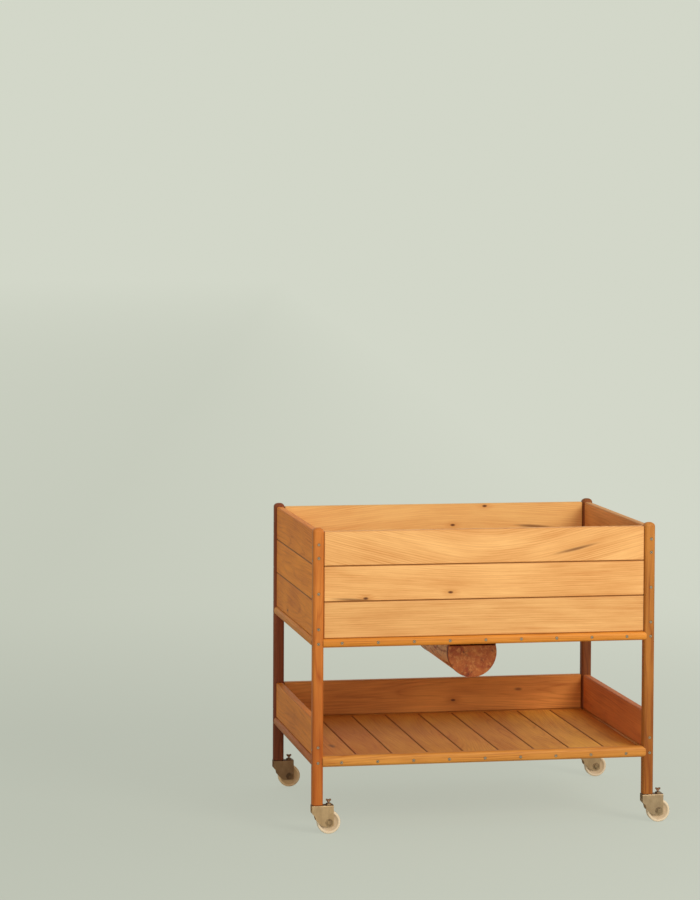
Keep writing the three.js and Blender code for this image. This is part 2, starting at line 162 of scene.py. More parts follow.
def floor_material():
    material, tree, shader = new_material("studio_floor")
    plug(tree, shader, "Base Color", FLOOR_NEAR)
    plug(tree, shader, "Roughness", 0.9)
    plug(tree, shader, "Specular IOR Level", 0.1)
    where = object_place(tree)
    distance = reckon(tree, "MAXIMUM", reckon_vector(tree, "LENGTH", where), 1.0)
    across = reckon(tree, "ADD", reckon_vector(tree, "DOT_PRODUCT", where, FLOOR_ACROSS), ACROSS_START)
    across = reckon(tree, "MINIMUM", reckon(tree, "MAXIMUM", across, -ACROSS_REACH), ACROSS_REACH)
    far = scaled(tree, reckon(tree, "LOGARITHM", distance, math.e), AWAY_LIGHTER, AWAY_START)
    far = reckon(tree, "ADD", far, fade(tree, distance, *BACKDROP_FADE, 0.0, BACKDROP_LIGHTER))
    far = scaled(tree, across, ACROSS_LIGHTER, far, clamp=True)
    glow_colour = blend(tree, far, FLOOR_NEAR, BACKDROP)
    glow = put(tree, "ShaderNodeEmission", {"Color": glow_colour, "Strength": 1.0})
    share = fade(tree, distance, *GLOW_FADE, FLOOR_GLOW, 1.0)
    seen = put(tree, "ShaderNodeLightPath").outputs["Is Camera Ray"]
    mixed = put(tree, "ShaderNodeMixShader", {0: times(tree, share, seen), 1: shader, 2: glow})
    plug(tree, tree.nodes["Material Output"], "Surface", mixed)
    return material


shape = bmesh.new()
bmesh.ops.create_circle(shape, cap_ends=True, segments=FLOOR_SIDES, radius=FLOOR_REACH)
floor_mesh = bpy.data.meshes.new("floor")
shape.to_mesh(floor_mesh)
shape.free()
floor_mesh.materials.append(floor_material())
ground = show(bpy.data.objects.new("floor", floor_mesh))

# ---- Light ----
# A large soft lamp from the front right, above the rim, a weaker one from the front left, and an even
# pale room around. The room shows as the backdrop wherever it is looked at, or seen in metal.
ROOM_LIGHT = (0.96, 0.98, 1.0)
ROOM_LEVEL = 0.56
LAMP_AIM = Vector((0, 0, 0.5))
LAMPS = {
    "key_lamp": {"from": (2.6, -4.6, 3.3), "size": 2.6, "watts": 165, "colour": (1.0, 0.975, 0.94)},
    "front_fill": {"from": (-2.4, -6.0, 1.6), "size": 3.0, "watts": 50, "colour": (1.0, 0.99, 0.97)},
}

room = bpy.data.worlds.new("room")
room.use_nodes = True
room_tree = room.node_tree
paths = put(room_tree, "ShaderNodeLightPath")
looked_at = reckon(room_tree, "ADD", paths.outputs["Is Camera Ray"], paths.outputs["Is Glossy Ray"])
looked_at = reckon(room_tree, "ADD", looked_at, paths.outputs["Is Transmission Ray"], clamp=True)
lighting = put(room_tree, "ShaderNodeBackground", {"Color": ROOM_LIGHT, "Strength": ROOM_LEVEL})
showing = put(room_tree, "ShaderNodeBackground", {"Color": BACKDROP, "Strength": 1.0})
room_mix = put(room_tree, "ShaderNodeMixShader", {0: looked_at, 1: lighting, 2: showing})
plug(room_tree, room_tree.nodes["World Output"], "Surface", room_mix)
bpy.context.scene.world = room

for lamp_name, lamp in LAMPS.items():
    light = bpy.data.lights.new(lamp_name, "AREA")
    light.shape = "DISK"
    light.size = lamp["size"]
    light.energy = lamp["watts"]
    light.color = lamp["colour"]
    stand = Vector(lamp["from"])
    aim = (LAMP_AIM - stand).to_track_quat("-Z", "Y")
    holder = show(bpy.data.objects.new(lamp_name, light))
    holder.matrix_world = Matrix.Translation(stand) @ aim.to_matrix().to_4x4()

# ---- Posts ----
# Four square robinia posts, each one length from its caster to its domed top, with all four long
# edges routed round. Heartwood, oiled to a deep orange brown; the one behind left is the darkest.
POST_EDGE = 0.008
POST_EDGE_STEPS = 6
POST_DOME = 0.011
POST_DOME_STEPS = 8
POST_DOME_EDGE = 0.0004
POST_FOOT_EASE = 0.0008
POST_TONES = {
    "front_left": ((0.700, 0.220, 0.032), (0.410, 0.089, 0.010)),
    "front_right": ((0.580, 0.212, 0.033), (0.280, 0.072, 0.0095)),
    "back_left": ((0.318, 0.077, 0.0208), (0.154, 0.029, 0.0069)),
    "back_right": ((0.325, 0.095, 0.0173), (0.158, 0.038, 0.0061)),
}
POST_FOOT_DARKER = 0.40
FOOT_FADE = (0.15, -0.25)
GRAINS = {
    "wander": ((3.0, 9.0, 9.0), 2.0),
    "ring_wear": ((6.0, 80.0, 80.0), 3.0),
    "ring_strength": ((5.0, 26.0, 26.0), 2.0),
    "streaks": ((3.0, 130.0, 130.0), 3.0, 0.6),
    "lines": ((8.0, 420.0, 420.0), 3.0, 0.65),
    "fibres": ((45.0, 1100.0, 1100.0), 3.0, 0.6),
    "patches": ((4.0, 14.0, 14.0), 3.0),
}
DEPTH_SHARES = {"streaks": 0.75, "lines": 1.0, "fibres": 0.4, "patches": 1.3}
DEPTH_START = 1.43
RINGS_PER_METRE = 165.0
RING_DEPTH = 0.42
PITH_WANDER = 0.022
KNOT_SHAPE = (100.0, 240.0, 200.0)
KNOT_SWELL = 0.006
KNOT_HEART = (0.150, 0.050, 0.014)
STREAK = (11.0, 150.0, 150.0)
FAR_AWAY = (9.0, 9.0, 9.0)
EDGE_FADE = (0.0036, 0.0002)
JOINT_DARK = (0.340, 0.118, 0.024)
JOINT_FADE = (0.0030, 0.0007)
BOW_SOFTNESS = 0.015
GRAIN_TURNS = {"x": (0, 0, 0), "y": (0, 0, -math.pi / 2), "z": (0, math.pi / 2, 0)}


def grain(tree, where, stretch, detail=2.0, roughness=0.5):
    """Noise that is stretched by dividing each direction's measure: more per metre is finer."""
    place = reckon_vector(tree, "MULTIPLY", where, stretch)
    inputs = {"Vector": place, "Scale": 1.0, "Detail": detail, "Roughness": roughness}
    return put(tree, "ShaderNodeTexNoise", inputs)


def new_tree(name, kind, inputs, outputs):
    """An empty node tree with named sockets, and the places where its inputs can be read."""
    tree = bpy.data.node_groups.new(name, kind)
    for way, sockets in (("INPUT", inputs), ("OUTPUT", outputs)):
        for socket, socket_kind in sockets.items():
            tree.interface.new_socket(socket, in_out=way, socket_type="NodeSocket" + socket_kind)
    return tree, put(tree, "NodeGroupInput").outputs


def distance_from(tree, place, point, shape):
    """How far a place is from a point, in a measure of its own along each direction."""
    away = reckon_vector(tree, "SUBTRACT", place, point)
    return reckon_vector(tree, "LENGTH", reckon_vector(tree, "MULTIPLY", away, shape))


def growth_rings(tree, given, along, swung, halo, noise):
    """Late wood in rings round a pith that wanders, pushed out by the knots and worn by the years."""
    wander = reckon_vector(tree, "SUBTRACT", noise["wander"].outputs["Color"], (0.5, 0.5, 0.5))
    wander = reckon_vector(tree, "MULTIPLY", wander, (0.0, PITH_WANDER, PITH_WANDER))
    trunk = reckon_vector(tree, "ADD", reckon_vector(tree, "ADD", swung, given["Pith"]), wander)
    radius = reckon_vector(tree, "LENGTH", reckon_vector(tree, "MULTIPLY", trunk, (0, 1, 1)))
    radius = scaled(tree, along, given["Lean"], radius)
    radius = scaled(tree, halo, KNOT_SWELL, radius)
    rings = scaled(tree, radius, RINGS_PER_METRE, noise["ring_wear"])
    late_wood = reckon(tree, "POWER", reckon(tree, "PINGPONG", rings, 0.5), 3.0)
    late_wood = times(tree, late_wood, 8.0)
    return times(tree, late_wood, fade(tree, noise["ring_strength"], 0.36, 0.66, 0.25, 1.0))


def board_edges(tree, given, board):
    """How much a place lies on a worn edge, and how dark it is for lying in a joint."""
    inside = reckon_vector(tree, "SUBTRACT", given["Half size"], reckon_vector(tree, "ABSOLUTE", board))
    from_side = reckon_vector(tree, "DOT_PRODUCT", inside, given["Across"])
    inside = split(tree, inside)
    dark = split(tree, given["Joint"])
    low_half = reckon(tree, "LESS_THAN", reckon_vector(tree, "DOT_PRODUCT", board, given["Across"]), 0.0)
    side_dark = {"Value": low_half, "To Min": dark["Z"], "To Max": dark["Y"]}
    side_dark = put(tree, "ShaderNodeMapRange", side_dark)
    ends = times(tree, fade(tree, inside["X"], *JOINT_FADE), dark["X"])
    sides = times(tree, fade(tree, from_side, *JOINT_FADE), side_dark)
    near = [fade(tree, inside[axis], *EDGE_FADE) for axis in ("X", "Y", "Z")]
    pairs = [times(tree, near[a], near[b]) for a, b in ((0, 1), (1, 2), (0, 2))]
    worn = reckon(tree, "MAXIMUM", pairs[0], reckon(tree, "MAXIMUM", pairs[1], pairs[2]))
    return worn, reckon(tree, "MAXIMUM", ends, sides)


def robinia_grain():
    """The wood itself, for a board measured from its middle with x along the grain.

    Growth rings lie round a pith beside the board, so that its faces cut them into arches and lines.
    All of it slopes and bows in the direction given as across, and swings round the knots. Joint is
    how dark the board is at its ends, its low edge and its high one; foot, how much darker low down."""
    tree, given = new_tree("robinia_grain", "ShaderNodeTree", {
        "Board": "Vector", "Lot": "Vector", "Pith": "Vector", "Half size": "Vector",
        "Knot one": "Vector", "Knot two": "Vector", "Mark": "Vector", "Mark shape": "Vector",
        "Across": "Vector", "Joint": "Vector", "Slope": "Float", "Bow": "Float", "Lean": "Float",
        "Figure": "Float", "Foot": "Float", "Pale": "Color", "Deep": "Color",
    }, {"Colour": "Color", "Roughness": "Float", "Height": "Float"})
    board = given["Board"]
    along = split(tree, board)["X"]
    bowed = reckon(tree, "SQRT", scaled(tree, along, along, BOW_SOFTNESS))
    curve = scaled(tree, along, given["Slope"], times(tree, bowed, given["Bow"]))
    swing = put(tree, "ShaderNodeVectorMath", {0: given["Across"], "Scale": curve}, operation="SCALE")
    swung = reckon_vector(tree, "ADD", board, swing)
    place = reckon_vector(tree, "ADD", swung, given["Lot"])
    noise = {name: grain(tree, place, *settings) for name, settings in GRAINS.items()}

    knots = [distance_from(tree, board, given[name], KNOT_SHAPE) for name in ("Knot one", "Knot two")]
    heart = reckon(tree, "MAXIMUM", *(fade(tree, knot, 1.0, 0.3) for knot in knots))
    halo = reckon(tree, "MAXIMUM", *(fade(tree, knot, 3.6, 0.4) for knot in knots))
    late_wood = growth_rings(tree, given, along, swung, halo, noise)

    depth = times(tree, times(tree, late_wood, RING_DEPTH), given["Figure"])
    for name, share in DEPTH_SHARES.items():
        depth = scaled(tree, noise[name], share, depth)
    depth = scaled(tree, fade(tree, along, *FOOT_FADE), given["Foot"], depth)
    depth = reckon(tree, "SUBTRACT", depth, DEPTH_START, clamp=True)
    colour = blend(tree, depth, given["Pale"], given["Deep"])
    colour = blend(tree, times(tree, halo, 0.5), colour, given["Deep"])

    mark = distance_from(tree, swung, given["Mark"], given["Mark shape"])
    mark = scaled(tree, noise["lines"], 0.9, mark)
    colour = blend(tree, fade(tree, mark, 1.35, 0.6, 0.0, 0.75), colour, KNOT_HEART)
    worn, joint = board_edges(tree, given, board)
    colour = blend(tree, times(tree, worn, 0.85), colour, given["Deep"])
    colour = blend(tree, heart, colour, KNOT_HEART)
    colour = blend(tree, joint, colour, JOINT_DARK)

    rough = scaled(tree, noise["fibres"], 0.24, 0.40)
    height = scaled(tree, late_wood, -0.2, scaled(tree, noise["streaks"], 0.4, noise["fibres"]))
    put(tree, "NodeGroupOutput", {"Colour": colour, "Roughness": rough, "Height": height})
    return tree


robinia_tree = robinia_grain()


def to_board(point, middle, along):
    """A point of the planter in a board's own measure: from its middle, with x along the grain."""
    return Euler(GRAIN_TURNS[along]).to_matrix() @ (Vector(point) - Vector(middle))


def raise_grain(tree, shader, strength, distance, height):
    bump = put(tree, "ShaderNodeBump", {"Strength": strength, "Distance": distance, "Height": height})
    plug(tree, shader, "Normal", bump)


def oil(tree, shader, **inputs):
    """Robinia on a shader: an oiled surface with a low sheen, its fibres standing slightly proud."""
    for socket in ("knot_one", "knot_two", "mark"):
        inputs.setdefault(socket, FAR_AWAY)
    wood = put(tree, "ShaderNodeGroup", node_tree=robinia_tree)
    for socket, value in inputs.items():
        plug(tree, wood, socket.replace("_", " ").capitalize(), value)
    plug(tree, shader, "Base Color", wood.outputs["Colour"])
    plug(tree, shader, "Roughness", wood.outputs["Roughness"])
    plug(tree, shader, "Specular IOR Level", 0.22)
    raise_grain(tree, shader, 0.35, 0.0005, wood.outputs["Height"])


def robinia(name, low, high, along, tones, seed, knots=(), mark=None, mark_shape=STREAK, **drawn):
    """The material of one board, cut from its own place in the trunk, with knots at given points.

    What is drawn is how its figure runs: its pith, slope, bow, lean and how strong it is."""
    chance = random.Random(seed)
    material, tree, shader = new_material(name)
    middle = (Vector(low) + Vector(high)) / 2
    turn = Euler(GRAIN_TURNS[along])
    shift = -(turn.to_matrix() @ middle)
    mapping = {"Vector": object_place(tree), "Location": shift, "Rotation": tuple(turn)}
    half = turn.to_matrix() @ (Vector(high) - Vector(low)) / 2
    half = tuple(abs(value) for value in half)
    pith = (0.0, chance.choice((-1, 1)) * chance.uniform(0.03, 0.10), chance.uniform(-0.03, 0.03))
    across = (0, 0, 1)
    if half[1] > half[2]:
        pith = (pith[0], pith[2], pith[1])
        across = (0, 1, 0)
    inputs = {
        "board": put(tree, "ShaderNodeMapping", mapping), "lot": (chance.uniform(-40, 40), 0, 0),
        "pith": pith, "half_size": half, "across": across, "joint": (0.7, 0, 0), "foot": 0.0,
        "slope": chance.uniform(-0.02, 0.02), "bow": chance.uniform(-0.04, 0.04),
        "lean": chance.choice((-1, 1)) * chance.uniform(0.01, 0.04), "figure": 1.0,
        "pale": tones[0], "deep": tones[1], "mark_shape": mark_shape,
    }
    for socket, knot in zip(("knot_one", "knot_two"), knots):
        inputs[socket] = to_board(knot, middle, along)
    inputs.update(drawn)
    if mark:
        mark = to_board(mark, middle, along)
        bowed = inputs["bow"] * math.sqrt(mark.x ** 2 + BOW_SOFTNESS)
        inputs["mark"] = mark + Vector(across) * (inputs["slope"] * mark.x + bowed)
    oil(tree, shader, **inputs)
    return material


def finish_piece(name, mesh, material, body, slot, *nodes):
    """Makes an object of a mesh, gives it its finish, and lets it stand for its solids on a body."""
    mesh.name = name
    mesh.materials.clear()
    mesh.materials.append(material)
    piece = show(bpy.data.objects.new(name, mesh))
    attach(piece, body)
    if nodes:
        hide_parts(*nodes)


def shaded(mesh, angle=40):
    """Shades a mesh smoothly, with creases where its faces meet at more than an angle."""
    mesh.shade_smooth()
    mesh.set_sharp_from_angle(angle=math.radians(angle))
    return mesh


def made_mesh(shape):
    """Turns a bmesh into a mesh."""
    mesh = bpy.data.meshes.new("mesh")
    shape.to_mesh(mesh)
    shape.free()
    return mesh


def skin(rings, angle=40):
    """A closed skin over rings of points, from low to high, with a flat face on each end."""
    shape = bmesh.new()
    rows = [[shape.verts.new(point) for point in ring] for ring in rings]
    for lower, upper in zip(rows, rows[1:]):
        for i in range(len(lower)):
            j = (i + 1) % len(lower)
            shape.faces.new((lower[i], lower[j], upper[j], upper[i]))
    shape.faces.new(rows[0][::-1])
    shape.faces.new(rows[-1])
    bmesh.ops.recalc_face_normals(shape, faces=shape.faces[:])
    return shaded(made_mesh(shape), angle)


def rounded_section(half_u, half_v, edge, steps):
    """A rectangle about the origin with round corners, as points (u, v)."""
    points = []
    for quarter in range(4):
        corner = math.radians(45 + 90 * quarter)
        cu = math.copysign(half_u - edge, math.cos(corner))
        cv = math.copysign(half_v - edge, math.sin(corner))
        for step in range(steps + 1):
            angle = math.radians(90 * (quarter + step / steps))
            points.append((cu + edge * math.cos(angle), cv + edge * math.sin(angle)))
    return points


def post_ring(middle, half, z):
    edge = min(POST_EDGE, half - POST_DOME_EDGE)
    return [(middle.x + u, middle.y + v, z) for u, v in rounded_section(half, half, edge, POST_EDGE_STEPS)]


def post_mesh(low, high):
    """A post with an eased foot, drawn in towards the top along a quarter circle."""
    middle = (low + high) / 2
    half = (high.x - low.x) / 2
    rings = [post_ring(middle, half - POST_FOOT_EASE, low.z), post_ring(middle, half, low.z + POST_FOOT_EASE)]
    for step in range(POST_DOME_STEPS + 1):
        angle = math.radians(90 * step / POST_DOME_STEPS)
        inset = POST_DOME * (1 - math.cos(angle))
        rings.append(post_ring(middle, half - inset, high.z - POST_DOME * (1 - math.sin(angle))))
    return skin(rings)


for seed, (corner, tones) in enumerate(POST_TONES.items()):
    node = "post_" + corner
    low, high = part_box(node)
    drawn = {"figure": 1.3, "joint": (0, 0, 0), "foot": POST_FOOT_DARKER}
    wood = robinia(node + "_robinia", low, high, "z", tones, 10 + seed, **drawn)
    finish_piece(node + "_turned", post_mesh(low, high), wood, "planter", "post_robinia", node)

# ---- Rails ----
# Eight robinia rails, a shade prouder than the posts: four under the box planks, and four at the shelf
# with the front one higher. Their long edges are routed round, and their eased ends lap a little over
# the round edges of the posts.
RAIL_EDGE = 0.0100
RAIL_EDGE_STEPS = 6
RAIL_END = 0.0024
RAIL_END_EASING = ((0.0, 1.0), (0.13, 0.5), (0.5, 0.13), (1.0, 0.0))
RAIL_LAPS = {"x": (0.0035, 0.0090), "y": (0.0040, 0.0040)}
RAIL_PROUD = 0.0007
RAIL_OUTWARD = {"front": (0, -1, 0), "back": (0, 1, 0), "left": (-1, 0, 0), "right": (1, 0, 0)}
RAIL_TONES = {
    "upper": ((0.860, 0.320, 0.042), (0.510, 0.142, 0.0135)),
    "lower": ((0.790, 0.330, 0.060), (0.440, 0.130, 0.017)),
}
DARK_RAIL_TONES = {"lower_rail_left": ((0.520, 0.150, 0.022), (0.300, 0.065, 0.008))}
RAIL_MARKS = {"upper_rail_front": (-0.139, -0.340, 0.5236)}
CRACK = (12.0, 1000.0, 1000.0)


def run_of(side):
    return "x" if side in ("front", "back") else "y"


def rail_mesh(low, high, along):
    """A rounded section run along x or y, drawn in a little at both ends."""
    middle = (low + high) / 2
    high_half = (high.z - low.z) / 2
    deep_half = (high.y - low.y) / 2 if along == "x" else (high.x - low.x) / 2
    start, end = (low.x, high.x) if along == "x" else (low.y, high.y)
    runs = [(start + RAIL_END * run, RAIL_END * inset) for run, inset in RAIL_END_EASING]
    runs += [(end - RAIL_END * run, RAIL_END * inset) for run, inset in RAIL_END_EASING[::-1]]
    rings = []
    for at, inset in runs:
        section = rounded_section(deep_half - inset, high_half - inset, RAIL_EDGE - inset, RAIL_EDGE_STEPS)
        if along == "x":
            rings.append([(at, middle.y + u, middle.z + v) for u, v in section])
        else:
            rings.append([(middle.x + u, at, middle.z + v) for u, v in section])
    return skin(rings, 35)


for seed, level in enumerate(("upper", "lower")):
    for turn, side in enumerate(("front", "back", "left", "right")):
        node = f"{level}_rail_{side}"
        low, high = (Vector(corner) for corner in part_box(node))
        along = run_of(side)
        first, last = RAIL_LAPS[along]
        low -= Vector((first, 0, 0) if along == "x" else (0, first, 0))
        high += Vector((last, 0, 0) if along == "x" else (0, last, 0))
        outward = Vector(RAIL_OUTWARD[side]) * RAIL_PROUD
        low += Vector((min(outward.x, 0), min(outward.y, 0), 0))
        high += Vector((max(outward.x, 0), max(outward.y, 0), 0))
        tones = DARK_RAIL_TONES.get(node, RAIL_TONES[level])
        wood = robinia(
            node + "_robinia", low, high, along, tones, 20 + 4 * seed + turn,
            mark=RAIL_MARKS.get(node), mark_shape=CRACK, figure=1.2, joint=(0.75, 0, 0),
        )
        slot = "light_robinia" if level == "upper" or side == "front" else "shelf_robinia"
        finish_piece(node + "_routed", rail_mesh(low, high, along), wood, "planter", slot, node)

# ---- Box planks ----
# Three planed robinia boards a side, stacked on the rail and butted to the posts. The front ones are
# bright honey with arches in the top board; the side and back boards are browner.
PLANK_EDGE = 0.0032
PLANK_EDGE_STEPS = 3
PLANK_TONES = {
    "front": ((1.000, 0.535, 0.190), (0.650, 0.240, 0.052)),
    "back": ((1.000, 0.600, 0.200), (0.740, 0.305, 0.070)),
    "left": ((1.000, 0.327, 0.022), (0.610, 0.138, 0.0065)),
    "right": ((0.820, 0.363, 0.100), (0.490, 0.170, 0.036)),
}
PLANK_ROWS = {
    1: {"tone": 0.94, "joint": (0.8, 0.55, 0.75)},
    2: {"tone": 1.0, "joint": (0.8, 0.75, 0.75)},
    3: {"tone": 1.0, "joint": (0.8, 0.75, 0.0)},
}
PLANK_KNOTS = {
    "box_plank_front_2": [(-0.123, -0.334, 0.6554), (-0.3598, -0.334, 0.6431)],
    "box_plank_back_3": [(0.126, 0.314, 0.821), (0.0291, 0.314, 0.7659)],
    "box_plank_left_1": [(-0.5003, 0.1124, 0.5511)],
}
PLANK_MARKS = {
    "box_plank_back_3": (0.2777, 0.314, 0.7588),
    "box_plank_left_3": (-0.5003, -0.1375, 0.7246),
    "box_plank_front_3": (0.2300, -0.334, 0.7680),
    "box_plank_front_2": (-0.3900, -0.334, 0.6390),
}
PLANK_DRAWN = {
    "box_plank_front_3": {"pith": (0, 0.02, 0.36), "bow": -0.27, "slope": 0.01, "lean": 0.0, "figure": 1.1},
    "box_plank_front_2": {"pith": (0, 0.03, 0.26), "bow": -0.04, "slope": 0.03, "lean": 0.0, "figure": 0.8},
    "box_plank_front_1": {"pith": (0, 0.02, 0.30), "bow": 0.01, "slope": 0.004, "lean": 0.0, "figure": 0.7},
    "box_plank_back_3": {"pith": (0, 0.03, 0.26), "bow": 0.10, "slope": -0.03, "lean": 0.0, "figure": 1.0},
}


def as_plain_mesh(worked):
    """The finished mesh of an object with its modifiers worked in; the object itself goes."""
    bpy.context.view_layer.update()
    seen = worked.evaluated_get(bpy.context.evaluated_depsgraph_get())
    mesh = bpy.data.meshes.new_from_object(seen)
    rough = worked.data
    worked.modifiers.clear()
    bpy.data.objects.remove(worked)
    if rough.users == 0:
        bpy.data.meshes.remove(rough)
    return mesh


def eased_board(low, high):
    """A sawn board between two corners, with all its edges rounded over."""
    shape = bmesh.new()
    bmesh.ops.create_cube(shape, size=1.0)
    bmesh.ops.scale(shape, vec=high - low, verts=shape.verts[:])
    bmesh.ops.translate(shape, vec=(low + high) / 2, verts=shape.verts[:])
    blank = show(bpy.data.objects.new("blank", made_mesh(shape)))
    cut = blank.modifiers.new("easing", "BEVEL")
    cut.width = PLANK_EDGE
    cut.segments = PLANK_EDGE_STEPS
    cut.limit_method = "NONE"
    cut.harden_normals = True
    blank.data.shade_smooth()
    return as_plain_mesh(blank)


for turn, (side, tones) in enumerate(PLANK_TONES.items()):
    for number, row in PLANK_ROWS.items():
        node = f"box_plank_{side}_{number}"
        low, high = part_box(node)
        toned = [[value * row["tone"] for value in tone] for tone in tones]
        wood = robinia(
            node + "_robinia", low, high, run_of(side), toned, 40 + 3 * turn + number,
            knots=PLANK_KNOTS.get(node, ()), mark=PLANK_MARKS.get(node),
            joint=row["joint"], **PLANK_DRAWN.get(node, {}),
        )
        finish_piece(node + "_planed", eased_board(low, high), wood, "planter", "light_robinia", node)

# ---- Low boards around the shelf ----
# One robinia board on its edge at the back and at each side of the shelf, red brown and a little
# rougher than the box planks. The front stays open.
LOW_BOARD_TONES = {
    "back": ((0.810, 0.327, 0.068), (0.440, 0.128, 0.022)),
    "left": ((0.820, 0.255, 0.017), (0.475, 0.115, 0.0065)),
    "right": ((0.760, 0.240, 0.057), (0.430, 0.097, 0.019)),
}
LOW_BOARD_KNOTS = {"back": [(0.0333, 0.314, 0.2433)]}
LOW_BOARD_MARKS = {"back": (0.2321, 0.314, 0.2709)}
LOW_BOARD_SPOT = (55.0, 130.0, 130.0)

for turn, (side, tones) in enumerate(LOW_BOARD_TONES.items()):
    node = f"shelf_board_{side}"
    low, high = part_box(node)
    wood = robinia(
        node + "_robinia", low, high, run_of(side), tones, 60 + turn, knots=LOW_BOARD_KNOTS.get(side, ()),
        mark=LOW_BOARD_MARKS.get(side), mark_shape=LOW_BOARD_SPOT, figure=0.8,
    )
    finish_piece(node + "_planed", eased_board(low, high), wood, "planter", "shelf_robinia", node)

# ---- Slats of the shelf and of the box floor ----
# Nine robinia slats a deck, laid front to back between the rails with a small gap, and screwed
# through the rails into their ends. Each slat is another board, and they are redder to the left.
SLAT_COUNT = 9
SLAT_GAP = 0.0024
SLAT_EDGE = 0.0016
SLAT_EDGE_STEPS = 3
DECK_TONES = {
    "shelf": ((1.000, 0.525, 0.078), (0.460, 0.098, 0.008)),
    "box_floor": ((0.800, 0.380, 0.115), (0.500, 0.190, 0.045)),
}
SHELF_SPOT = (-0.4189, -0.1563)
SPOT_SHAPE = (26.0, 75.0, 75.0)


def hand_out(tree, row, material):
    """Ends a tree: what it repeats is made real and dressed."""
    plain = put(tree, "GeometryNodeRealizeInstances", {"Geometry": row})
    dressed = put(tree, "GeometryNodeSetMaterial", {"Geometry": plain, "Material": material})
    put(tree, "NodeGroupOutput", {"Geometry": dressed})
    return tree


def slat_tree():
    """Slats in a row along X: a rounded section run along Y, one at each point of a line."""
    tree, given = new_tree("slats", "GeometryNodeTree", {
        "Count": "Int", "Pitch": "Float", "Width": "Float", "Thickness": "Float",
        "Length": "Float", "Easing": "Float", "First": "Vector", "Wood": "Material",
    }, {"Geometry": "Geometry"})
    outline = {"Width": given["Width"], "Height": given["Thickness"]}
    outline = put(tree, "GeometryNodeCurvePrimitiveQuadrilateral", outline)
    easing = {"Curve": outline, "Radius": given["Easing"], "Count": SLAT_EDGE_STEPS}
    section = put(tree, "GeometryNodeFilletCurve", easing, mode="POLY")
    back, front = (times(tree, given["Length"], share) for share in (-0.5, 0.5))
    back, front = (put(tree, "ShaderNodeCombineXYZ", {"Y": end}) for end in (back, front))
    path = put(tree, "GeometryNodeCurvePrimitiveLine", {"Start": back, "End": front})
    slat = {"Curve": path, "Profile Curve": section, "Fill Caps": True}
    slat = put(tree, "GeometryNodeCurveToMesh", slat)
    pitch = put(tree, "ShaderNodeCombineXYZ", {"X": given["Pitch"]})
    line = {"Count": given["Count"], "Start Location": given["First"], "Offset": pitch}
    line = put(tree, "GeometryNodeMeshLine", line)
    row = put(tree, "GeometryNodeInstanceOnPoints", {"Points": line, "Instance": slat})
    return hand_out(tree, row, given["Wood"])


def run_tree(tree, values, points=None):
    """Runs a node tree over points, or over nothing, with its named inputs, to a plain mesh."""
    tree.is_modifier = True
    worker = show(bpy.data.objects.new("worker", points or bpy.data.meshes.new("empty")))
    modifier = worker.modifiers.new("tree", "NODES")
    modifier.node_group = tree
    for item in tree.interface.items_tree:
        if item.in_out == "INPUT" and item.name in values:
            modifier[item.identifier] = values[item.name]
    return as_plain_mesh(worker)


def deck_robinia(name, low, high, pitch, pale, deep, seed):
    """Wood for a row of slats: each slat's number picks its place in the trunk and its tone."""
    material, tree, shader = new_material(name)
    middle = (low + high) / 2
    place = split(tree, object_place(tree))
    start = middle.x - pitch * SLAT_COUNT / 2
    steps = reckon(tree, "DIVIDE", reckon(tree, "SUBTRACT", place["X"], start), pitch)
    number = reckon(tree, "FLOOR", steps)
    board = put(tree, "ShaderNodeCombineXYZ", {
        "X": reckon(tree, "SUBTRACT", place["Y"], middle.y),
        "Y": times(tree, reckon(tree, "SUBTRACT", reckon(tree, "FRACT", steps), 0.5), pitch),
        "Z": reckon(tree, "SUBTRACT", place["Z"], middle.z),
    })
    lot = {"W": reckon(tree, "ADD", number, seed)}
    lot = put(tree, "ShaderNodeTexWhiteNoise", lot, noise_dimensions="1D").outputs
    chance = reckon_vector(tree, "SUBTRACT", lot["Color"], (0.5, 0.5, 0.5))
    tone = scaled(tree, number, -0.05, scaled(tree, lot["Value"], 0.30, 0.42))
    pale_here = blend(tree, tone, pale, deep)
    leans = split(tree, chance)
    slope = times(tree, leans["X"], 0.12)
    bow = times(tree, leans["Y"], 0.30)
    spot_at = SHELF_SPOT[1] - middle.y
    swing = math.sqrt(spot_at ** 2 + BOW_SOFTNESS)
    swing = scaled(tree, bow, swing, SHELF_SPOT[0] - start - pitch / 2)
    spot = put(tree, "ShaderNodeCombineXYZ", {
        "X": scaled(tree, reckon(tree, "MINIMUM", number, 1.0), 9.0, spot_at),
        "Y": scaled(tree, slope, spot_at, swing), "Z": (high.z - low.z) / 2,
    })
    oil(
        tree, shader, board=board, lot=reckon_vector(tree, "MULTIPLY", chance, (80, 0, 0)),
        pith=reckon_vector(tree, "MULTIPLY_ADD", chance, (0, 0.10, 0.02), (0, 0, -0.05)),
        half_size=((high.y - low.y) / 2, (pitch - SLAT_GAP) / 2, (high.z - low.z) / 2),
        slope=slope, bow=bow, lean=times(tree, leans["Z"], 0.12), figure=0.9, mark=spot,
        mark_shape=SPOT_SHAPE, across=(0, 1, 0), joint=(0.8, 0.7, 0.7), pale=pale_here,
        deep=blend(tree, 0.15, deep, pale_here),
    )
    return material


